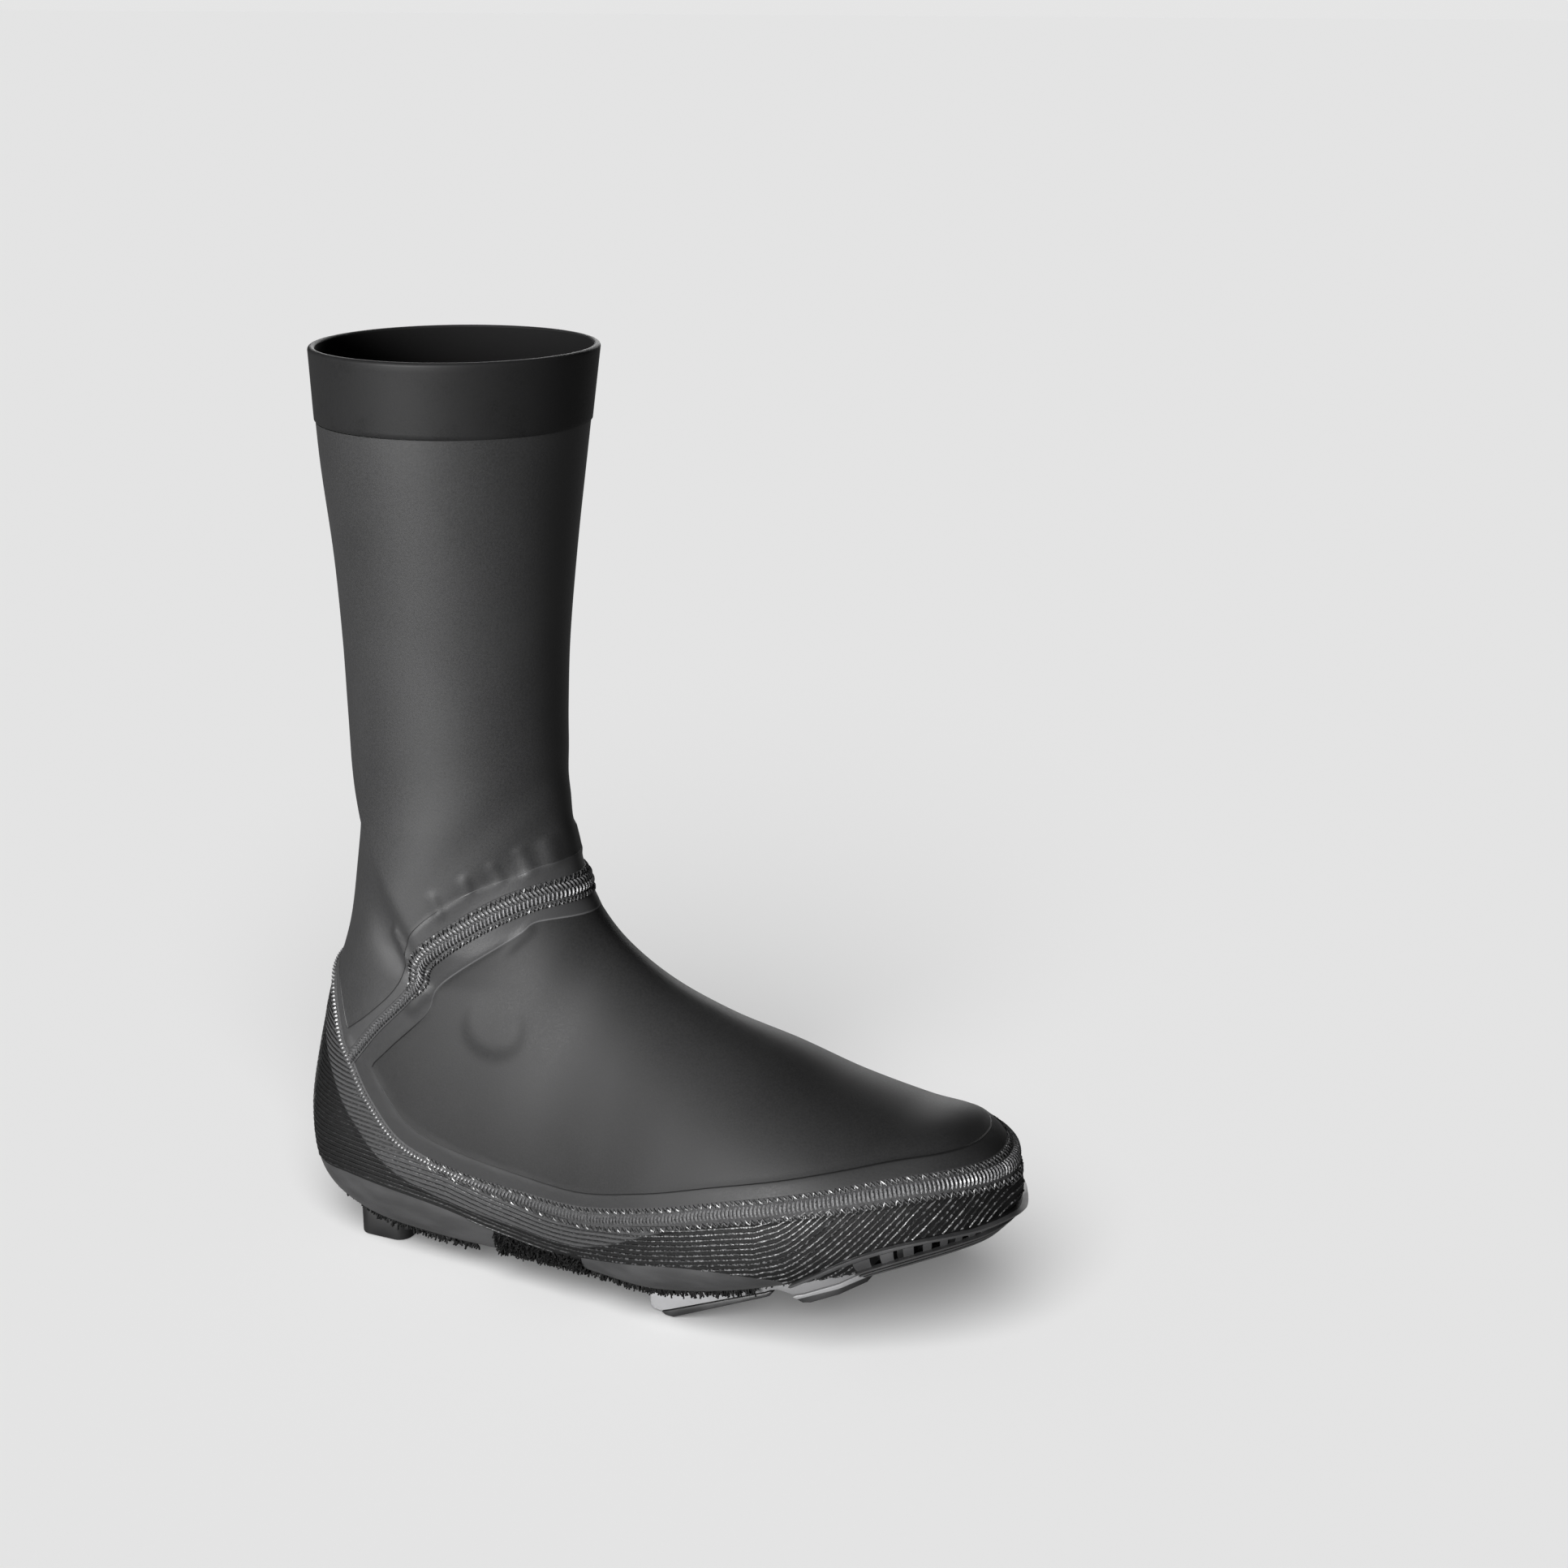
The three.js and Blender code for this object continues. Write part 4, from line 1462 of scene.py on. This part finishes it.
@dataclass(frozen=True)
class RibCord:
    """The shiny stitched crest of a rib, whose stitch dots also stand for painted highlight, with a painted
    highlight that grows towards the toe; dull where a tape lies behind it.
    """

    tone: float = 0.028
    taped: float = 0.009

    def material(self) -> bpy.types.Material:
        """Builds the material."""
        n = Nodes("rib_cord")
        n.set(Specular_IOR_Level=0.35)
        yarn = n.noise(900, 2)
        # Stitch dots on the crest, which also stand for painted highlight.
        stitch_and_highlight = n.ramp(yarn, 0.5, 0.62)
        taped = n.ramp(n.attribute("tape"), -0.2, 0.5)
        # Painted highlight: the crests grow lighter towards the toe.
        lit = n.mix(n.ramp(n.place("X"), -0.06, 0.06), self.tone * 0.5, self.tone * 2.8)
        base = n.mix(stitch_and_highlight, self.tone * 0.1, lit)
        n.colour(n.mix(taped, base, n.mix(stitch_and_highlight, self.taped * 0.7, self.taped * 2)))
        n.roughness(n.ramp(yarn, 0.3, 0.7, 0.5, 0.28))
        n.bump(yarn, 0.0003, 0.9)
        return n.material


@dataclass(frozen=True)
class SatinEdging:
    """Smooth grey edging below the ribs."""

    tone: float = 0.026
    rough: float = 0.4

    def material(self) -> bpy.types.Material:
        """Builds the material."""
        n = Nodes("satin_edging")
        n.set(Specular_IOR_Level=0.4)
        streak = n.noise(160, 4, (0.35, 1, 1))
        grain = n.noise(1800, 2)
        n.colour(n.mix(n.ramp(streak, 0.3, 0.7), self.tone * 0.75, self.tone * 1.2))
        n.roughness(n.ramp(grain, 0.2, 0.8, self.rough, self.rough + 0.12))
        n.bump(grain, 0.00005, 0.6)
        return n.material


@dataclass(frozen=True)
class SeamThread:
    """Glossy dark grey sewing thread with painted sheen: lighter where the painted sheen of the tapes is
    strong, and a painted highlight towards the toe.
    """

    name: str = "seam_thread"
    tone: float = 0.035
    painted_sheen_tone: float = 0.2

    def material(self) -> bpy.types.Material:
        """Builds the material."""
        n = Nodes(self.name)
        n.set(Specular_IOR_Level=0.7)
        twist = n.noise(2200, 2)
        # Painted sheen: the thread lightens where the tapes' painted sheen is strong, and a painted
        # highlight lightens it towards the toe.
        level = n.mix(n.attribute("painted_sheen"), self.tone, self.painted_sheen_tone)
        level = n.mix(n.ramp(n.place("X"), 0.0, 0.07), level, self.painted_sheen_tone)
        n.colour(n.mix(n.ramp(twist, 0.3, 0.6), n.mix(twist, self.tone * 0.3, self.tone), level))
        n.roughness(n.ramp(twist, 0.2, 0.8, 0.28, 0.5))
        n.bump(twist, 0.0001, 0.6)
        return n.material


@dataclass(frozen=True)
class Moulded:
    """A moulded rubber or plastic with a faint grain and rubbed places; where rise is set, painted shade
    darkens it towards the top.
    """

    name: str
    tone: float
    rough: float
    specular: float = 0.5
    wear: float = 0.25
    grain: float = 900
    # Painted shade: height in millimetres where the colour has darkened to 0.6 of the tone, from 4 mm up; 0
    # for none.
    rise: float = 0.0
    above: float = 0.0
    slope: float = 0.41
    level: float = -13.0

    def material(self) -> bpy.types.Material:
        """Builds the material."""
        n = Nodes(self.name)
        n.set(Specular_IOR_Level=self.specular)
        grain = n.noise(self.grain, 3)
        rubbed = n.noise(60, 5)
        shade = n.ramp(rubbed, 0.35, 0.7)
        colour = n.mix(shade, self.tone * (1 - self.wear), self.tone * (1 + self.wear))
        # Painted shade: darker towards the top, where the boot above shades the cleat.
        if self.rise:
            colour = n.mix(n.ramp(n.place("Z"), 0.004, self.rise * MM), colour, self.tone * 0.6)
        if self.above:
            level = n.math("SUBTRACT", n.place("Z"), n.math("MULTIPLY", n.place("X"), self.slope))
            colour = n.mix(n.ramp(level, self.level * MM, self.level * MM + 0.0003), colour, self.above)
        n.colour(colour)
        n.roughness(n.math("ADD", n.ramp(shade, 0, 1, self.rough, self.rough + 0.12),
                           n.math("MULTIPLY", grain, 0.06)))
        n.bump(grain, 0.00005, 0.5)
        return n.material


@dataclass
class Wardrobe:
    """All the finishes of the boot and the shoe."""

    def __post_init__(self) -> None:
        """Builds every material once."""
        self.cloth = StretchCloth().material()
        # The same stretch cloth with a darker tone on the foot: painted shade for the foot's lower light
        # than the leg's.
        self.foot = StretchCloth("foot_cloth_painted_shade", 0.0075, 0.0135, 0.032, 0.54, specular=0.21).material()
        self.hem = StretchCloth("hem_cloth", 0.004, 0.009, mottle=0.9, specular=0.16).material()
        lining = Grained("lining", 0.0035, (0.7, 1.2), 900, 2, (0, 1, 0.85, 0.98), 0.0001, specular=0.12)
        self.lining = lining.material()
        self.ribbed = RibbedCloth().material()
        self.cord = RibCord().material()
        self.edging = SatinEdging().material()
        pile = Grained("loop_pile", 0.0025, (0.5, 2.2), 1400, 3, (0, 1, 0.55, 0.9), 0.0003, 0.8,
                       specular=0.15)
        self.loops = pile.material()
        self.thread = SeamThread().material()
        self.loop_thread = SeamThread("loop_thread", 0.01, 0.08).material()
        self.rubber = Moulded("shoe_rubber", 0.005, 0.45, 0.3).material()
        # Painted highlight: the toe flange and tread rubber is lighter than the shoe's rubber, standing in
        # for light from the floor on their edges.
        self.painted_highlight_rubber = Moulded("toe_rubber_painted_highlight", 0.04, 0.34, 0.6).material()
        self.shell = Moulded("sole_shell", 0.01, 0.34, 0.4).material()
        # The cleat's plastic, with painted shade towards its top under the boot.
        self.cleat = Moulded("cleat_plastic", 0.17, 0.36, 0.5, 0.1, rise=18.0).material()
        self.grip = Moulded("cleat_grip", 0.01, 0.38, 0.4).material()
        self.front_grip = Moulded("cleat_front_grip", 0.012, 0.38, 0.4, above=0.12).material()
        steel = Grained("bolt_steel", 0.55, (0.8, 1.1), 700, 4, (0.2, 0.8, 0.24, 0.42), 0.00003,
                        stretch=(1, 1, 4), metallic=1.0)
        self.steel = steel.material()

    def layers(self, face: bpy.types.Material, *sewn: bpy.types.Material) -> list[bpy.types.Material]:
        """A cloth piece's materials in the order of its slots: face, lining, edge and what is sewn on."""
        return [face, self.lining, face, *sewn]


# Finishing


@dataclass
class Finisher:
    frame: dict[str, object]

    def note_tape(self, piece: Piece) -> None:
        """Gives each point its distance inside the seam tapes, and the painted sheen of tapes and threads
        there.
        """
        points = np.empty(len(piece.data.vertices) * 3, np.float32)
        piece.data.vertices.foreach_get("co", points)
        places = points.reshape(-1, 3)[:, [0, 2]].astype(float)
        for name, values in (("tape", tape_inset(places)), ("painted_sheen", painted_tape_sheen(places))):
            attribute = piece.data.attributes.new(name, "FLOAT", "POINT")
            attribute.data.foreach_set("value", values.astype(np.float32))

    def finish(self, piece: Piece, name: str, materials: list[bpy.types.Material], slot: str,
               nodes: tuple[str, ...], smooth: float = 40) -> Piece:
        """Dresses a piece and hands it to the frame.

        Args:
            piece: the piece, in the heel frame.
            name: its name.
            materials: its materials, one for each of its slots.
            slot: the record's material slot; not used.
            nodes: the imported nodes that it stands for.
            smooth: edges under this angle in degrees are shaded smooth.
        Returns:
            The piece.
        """
        piece.name = name
        slots = piece.data.materials
        for index, material in enumerate(materials):
            if index < len(slots):
                slots[index] = material
            else:
                slots.append(material)
        self.note_tape(piece)
        pick(piece)
        bpy.ops.object.shade_smooth_by_angle(angle=math.radians(smooth))
        piece.data.transform(Matrix.Scale(MM, 4) @ Matrix.Translation(HEEL_TO_ORIGIN))
        piece.data.update()
        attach(piece, BODY)
        if nodes:
            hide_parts(*nodes)
        triangles = sum(len(face.vertices) - 2 for face in piece.data.polygons)
        area = sum(face.area for face in piece.data.polygons)
        LOG.info("%s: %d triangles, %.4f square metres", name, triangles, area)
        return piece


# Sub-assemblies


@dataclass
class Upper:
    """The cloth of the boot: cuff, leg, foot, ribbed panel and the bands below it."""

    shell: ClothShell
    coarse: ClothShell
    dress: Wardrobe
    finisher: Finisher

    def build(self) -> None:
        """Builds all the cloth panels."""
        panels = Panels(self.shell)
        wall = self.shell.opened()
        layers, finish = self.dress.layers, self.finisher.finish
        cuff = finish(panels.cuff(), "cuff_cloth", layers(self.dress.hem), "leg_cloth", ("cuff_band",))
        cloth = layers(self.dress.cloth, self.dress.thread)
        leg = finish(panels.leg(wall), "leg_cloth", cloth, "leg_cloth", ("leg_tube",))
        # The foot panel takes the darker copy of the cloth, with its painted shade.
        foot = finish(panels.foot(wall), "foot_cloth", layers(self.dress.foot), "leg_cloth", ("foot_upper",))
        coarse_wall = self.coarse.opened()
        ribs = give_layers(Ribs().cords(Panels(self.coarse).rand(coarse_wall, "guide")), Layer.CORD)
        discard(coarse_wall)
        ribbed = layers(self.dress.ribbed, self.dress.cord)
        rand = finish(panels.rand(wall), "rand_cloth", ribbed, "ribbed_cloth", ("ribbed_rand",))
        ribs = finish(ribs, "rand_ribs", ribbed, "ribbed_cloth", ())
        edging = layers(self.dress.edging, self.dress.thread)
        heel = finish(panels.edging(wall, "heel", LEFT, ARCH_REAR), "heel_edging", edging, "smooth_band",
                      ("heel_band",))
        fore = finish(panels.edging(wall, "fore", ARCH_FRONT, FOREFOOT_FRONT), "forefoot_edging", edging,
                      "smooth_band", ("forefoot_band",))
        loops = layers(self.dress.loops, self.dress.loops)
        fuzz = Fuzz()
        patch = panels.edging(wall, "arch", ARCH_REAR, ARCH_FRONT)
        pile = threads("arch_loops", fuzz.loops(patch, LOOP_SPACING), LOOP_RADIUS)
        pile = give_layers(pile, Layer.FACE)
        arch = finish(patch, "arch_cloth", loops, "arch_fleece", ("arch_patch",))
        pile = finish(pile, "arch_loops", loops, "arch_fleece", (), 80)
        for name, opening in (("heel", HEEL_OPENING), ("cleat", CLEAT_OPENING)):
            paths = fuzz.hem(wall, opening.outline(), *HEM_SPANS[name])
            paths += fuzz.fringe(self.shell.form, *FRINGE_SPANS[name], FRINGE_DROP)
            hem = give_layers(threads(f"{name}_hem", paths, HEM_RADIUS), Layer.FACE)
            finish(hem, f"{name}_hem", loops, "arch_fleece", (), 80)
        discard(wall)


@dataclass
class ToeRubber:
    """The flange over the toe opening, and the lugs and ridges of the tread that stands in it."""

    shell: ClothShell
    lugs: int = 22
    hub: tuple[float, float] = (244.0, 5.0)
    spread: float = 224.0
    slot: float = 3.0
    ridge: float = 0.4
    lip_proud: float = 3.4
    rim_proud: float = 1.3
    lug_proud: float = 0.9
    sunk: float = -0.8
    lug_sunk: float = -3.0
    ridge_sunk: float = 0.3
    ridges: tuple[tuple[float, float], ...] = ((4.0, 2.9), (2.5, 2.6), (1.0, 2.3))

    def flange(self) -> Piece:
        """A thin lip all round the opening."""
        lip = self.shell.shell(self.lip_proud, self.sunk, False)
        lip = self.shell.within(lip, strip_outline(smooth_line(((212, 30.5),) + TOE_RIM), 0.95, -0.05))
        body = self.shell.shell(self.rim_proud, self.sunk, False)
        body = self.shell.within(body, strip_outline(TOE_RIM_LINE, 0, 1.1))
        return bevelled(tidy_faces(joined("toe_flange", [lip, body]), 0.3), 0.16)

    def tread(self) -> Piece:
        """Slotted lugs above three fine ridges."""
        low = beside(TREAD_LINE, 4.4)
        high = beside(TOE_RIM_LINE[TOE_RIM_LINE[:, 0] > TOE_OPENING - 6], -1.4)
        between = np.vstack((low, high[::-1]))
        blocks = self.shell.within(self.shell.shell(self.lug_proud, self.lug_sunk, False), between)
        slots = []
        for k in range(self.lugs):
            angle = math.radians(-self.spread / 2 + self.spread * (k + 0.5) / self.lugs)
            along = np.array([math.cos(angle), math.sin(angle)])
            across = np.array([-math.sin(angle), math.cos(angle)])
            half = self.slot / 2
            corners = [along * r + across * w for r, w in ((12, -half), (60, -half), (60, half), (12, half))]
            slots.append(plan_block(np.array(corners) + np.array(self.hub), 20, 70))
        gaps = give_layers(joined("gaps", slots), Layer.EDGE)
        blocks = cut(blocks, gaps, Cut.TAKE_AWAY)
        ridges = []
        for rise, proud in self.ridges:
            middle = beside(TREAD_LINE, rise)
            band = self.shell.shell(proud, self.ridge_sunk, False)
            ridges.append(self.shell.within(band, strip_outline(middle, self.ridge, self.ridge)))
        return joined("toe_lugs", [blocks] + ridges)


@dataclass
class Stitching:
    """The cover stitches over the ankle seam and the side seam."""

    form: BootForm
    dress: Wardrobe
    finisher: Finisher

    def build(self) -> None:
        """Builds both seams."""
        ankle = SeamRibbon(self.form, ANKLE_LINE, 5.2, False, 42, 52)
        side = SeamRibbon(self.form, SIDE_LINE, 6.0, True, 105, 190)
        ankle_profile = [(-4.7, 0.0), (-4.2, 0.4), (-2.6, 0.4), (-2.2, 0.9), (-0.2, 0.9), (0, 0.5),
                         (0.2, 0.9), (2.2, 0.9), (2.6, 0.1), (3.6, 0.1), (4.2, 0.4), (4.7, 0.0)]
        side_profile = [(-4.7, 0.0), (-3.6, 0.3), (-1.6, 0.3), (-0.8, 0.8), (0.7, 1.2), (2.2, 0.8),
                        (2.8, 0.3), (4.2, 0.25), (4.7, 0.0)]
        braids = [Bars(-2.5, -0.15, 1.5, 0.9, 0.9), Bars(0.15, 2.5, 1.5, -0.9, 0.9)]
        ankle_edges = [Zigzag(-3.5, 0.8, 1.8, 0.6), Zigzag(4.1, 0.6, 1.5, 0.5)]
        side_edges = [Zigzag(3.6, 0.7, 1.8, 0.45), Zigzag(-2.9, 0.8, 2.1, 0.45)]
        side_braid = [Bars(-0.9, 2.3, 1.5, 1.3, 0.8, 0.8)]
        for name, ribbon, profile, braid, edges in (
            ("ankle", ankle, ankle_profile, braids, ankle_edges),
            ("side", side, side_profile, side_braid, side_edges),
        ):
            strip = give_layers(ribbon.strip(f"{name}_strip", profile), Layer.FACE)
            paths = [path for row in braid for path in row.paths(ribbon, 0, ribbon.length)]
            stitches = give_layers(threads(f"{name}_braid", paths, BRAID_RADIUS), Layer.CORD)
            start = ribbon.narrow_until
            paths = [path for row in edges for path in row.paths(ribbon, start, ribbon.length - start)]
            loops = give_layers(threads(f"{name}_loops", paths, EDGE_RADIUS), Layer.EDGE)
            piece = joined(f"{name}_stitching", [strip, stitches, loops])
            ground = self.dress.ribbed
            materials = [ground, ground, self.dress.loop_thread, self.dress.thread]
            self.finisher.finish(piece, piece.name, materials, "seam_thread", (f"{name}_seam",), 60)


@dataclass
class Underfoot:
    """What shows of the shoe under the boot: sole shell, heel rubber, toe rim, toe tread and cleat."""

    shell: ClothShell
    dress: Wardrobe
    finisher: Finisher

    def build(self) -> None:
        """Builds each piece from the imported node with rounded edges."""
        rubber, grip = self.dress.rubber, self.dress.grip
        toe = ToeRubber(self.shell)
        # The toe flange and tread take the lightened rubber with its painted highlight.
        for piece, name in ((toe.flange(), "toe_flange"), (toe.tread(), "toe_lugs")):
            self.finisher.finish(piece, name, [self.dress.painted_highlight_rubber] * 4, "shoe_rubber", ())
        for node, slot, material, width in (
            ("sole_plate", "sole_shell", self.dress.shell, 0.5),
            ("heel_pad", "shoe_rubber", rubber, 0.6),
            ("toe_rim", "shoe_rubber", rubber, 0.3),
            ("toe_tread", "shoe_rubber", rubber, 0.3),
            ("cleat_body", "cleat_plastic", self.dress.cleat, 0.35),
            ("cleat_rear_pad_outer", "cleat_rubber", grip, 0.25),
            ("cleat_rear_pad_inner", "cleat_rubber", grip, 0.25),
            ("cleat_front_pad", "cleat_rubber", self.dress.front_grip, 0.3),
            *((f"cleat_bolt_{k}", "bolt_steel", self.dress.steel, 0.3) for k in (1, 2, 3)),
        ):
            piece = copy_of(self.finisher.frame["nodes"][node], f"{node}_dressed")
            piece.data.transform(Matrix.Translation([-v for v in HEEL_TO_ORIGIN]) @ Matrix.Scale(1 / MM, 4))
            tidy_faces(piece)
            bevelled(piece, width)
            self.finisher.finish(piece, f"{node}_dressed", [material], slot, (node,))


# The studio


@dataclass
class Studio:
    """A pale floor, soft lights and the camera at the photograph's angle."""

    camera_place: tuple[float, float, float] = (0.4017, -0.7556, 0.458)
    view: tuple[float, float, float] = (-0.400, 0.866, -0.301)
    lens: float = 58.7
    ambient: float = 0.05
    backdrop: float = 0.787
    floor_tone: float = 0.8
    glow: float = 0.12
    bounce: float = 0.14
    floor_dimming: float = 0.12
    suns: tuple[tuple[str, float, float, float, float, bool], ...] = (
        ("key", 33, 7, 30, 11.5, False),
        ("top", 30, 66, 34, 0.4, False),
        ("back", 182, 15, 36, 1.3, False),
        ("overhead", 8, 47, 48, 3.3, True),
    )
    receivers: dict[bool, bpy.types.Collection] = field(default_factory=dict)

    def switch(self, tree: bpy.types.NodeTree, socket: Socket, lit: float, seen: float) -> None:
        """Gives a socket of the studio one value for the camera and another for all other rays.

        Args:
            tree: the socket's node tree.
            socket: the socket to drive.
            lit: the value for rays that light the boot.
            seen: the value for the camera.
        """
        path = tree.nodes.new("ShaderNodeLightPath")
        values = tree.nodes.new("ShaderNodeMapRange")
        values.inputs["To Min"].default_value = lit
        values.inputs["To Max"].default_value = seen
        tree.links.new(path.outputs["Is Camera Ray"], values.inputs["Value"])
        tree.links.new(values.outputs["Result"], socket)

    def floor(self) -> None:
        """A wide pale floor that glows a little, so that its far part is as bright as the near."""
        bpy.ops.mesh.primitive_plane_add(size=60, location=(0, 0, -0.0003))
        floor = bpy.context.object
        floor.name = "floor"
        material = bpy.data.materials.new("floor")
        material.use_nodes = True
        shader = material.node_tree.nodes["Principled BSDF"]
        shader.inputs["Roughness"].default_value = 1.0
        shader.inputs["Specular IOR Level"].default_value = 0.0
        shader.inputs["Emission Color"].default_value = (1, 1, 1, 1)
        self.switch(material.node_tree, shader.inputs["Emission Strength"], self.bounce, self.glow)
        reflected = self.floor_tone * self.floor_dimming
        self.switch(material.node_tree, shader.inputs["Base Color"], reflected, self.floor_tone)
        floor.data.materials.append(material)
        for only_floor in (False, True):
            receivers = bpy.data.collections.new("floor only" if only_floor else "all but the floor")
            receivers.objects.link(floor)
            if not only_floor:
                receivers.collection_objects[0].light_linking.link_state = "EXCLUDE"
            self.receivers[only_floor] = receivers

    def sun(self, name: str, azimuth: float, height: float, spread: float, power: float,
            only_floor: bool) -> None:
        """A soft light from far away, which lights the floor evenly.

        Args:
            name: the light's name.
            azimuth: degrees that it stands round the boot from the camera, to the picture's left.
            height: degrees above the floor.
            spread: how wide it looks from the boot, in degrees.
            power: its power in watts a square metre.
            only_floor: whether it lights the floor alone, or all but the floor.
        """
        data = bpy.data.lights.new(name, "SUN")
        data.energy = power
        data.angle = math.radians(spread)
        lamp = placed(name, data)
        towards = math.atan2(-self.view[1], -self.view[0]) - math.radians(azimuth)
        rise = math.radians(height)
        level = math.cos(rise)
        direction = Vector((math.cos(towards) * level, math.sin(towards) * level, math.sin(rise)))
        lamp.rotation_euler = (-direction).to_track_quat("-Z", "Y").to_euler()
        lamp.location = direction
        lamp.light_linking.receiver_collection = self.receivers[only_floor]

    def world(self) -> None:
        """A pale room that the camera sees brighter than it lights the boot."""
        world = bpy.data.worlds.new("studio")
        world.use_nodes = True
        tree = world.node_tree
        background = tree.nodes["Background"]
        background.inputs["Color"].default_value = (1, 1, 1, 1)
        self.switch(tree, background.inputs["Strength"], self.ambient, self.backdrop)
        bpy.context.scene.world = world
        bpy.context.scene.view_settings.view_transform = "Standard"

    def build(self) -> None:
        """Builds floor, world, lights and camera."""
        self.floor()
        self.world()
        for sun in self.suns:
            self.sun(*sun)
        data = bpy.data.cameras.new("camera")
        data.lens, data.sensor_width = self.lens, 36
        camera = placed("camera", data)
        camera.location = self.camera_place
        camera.rotation_euler = Vector(self.view).to_track_quat("-Z", "Y").to_euler()
        bpy.context.scene.camera = camera


def main() -> None:
    """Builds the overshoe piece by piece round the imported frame."""
    logging.basicConfig(level=logging.INFO, format="%(message)s")
    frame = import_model()
    Studio().build()
    form = BootForm()
    shell, coarse = ClothShell(form), ClothShell(BootForm(rings=130, around=112))
    dress, finisher = Wardrobe(), Finisher(frame)
    Upper(shell, coarse, dress, finisher).build()
    Stitching(form, dress, finisher).build()
    Underfoot(shell, dress, finisher).build()


if __name__ == "__main__":
    main()
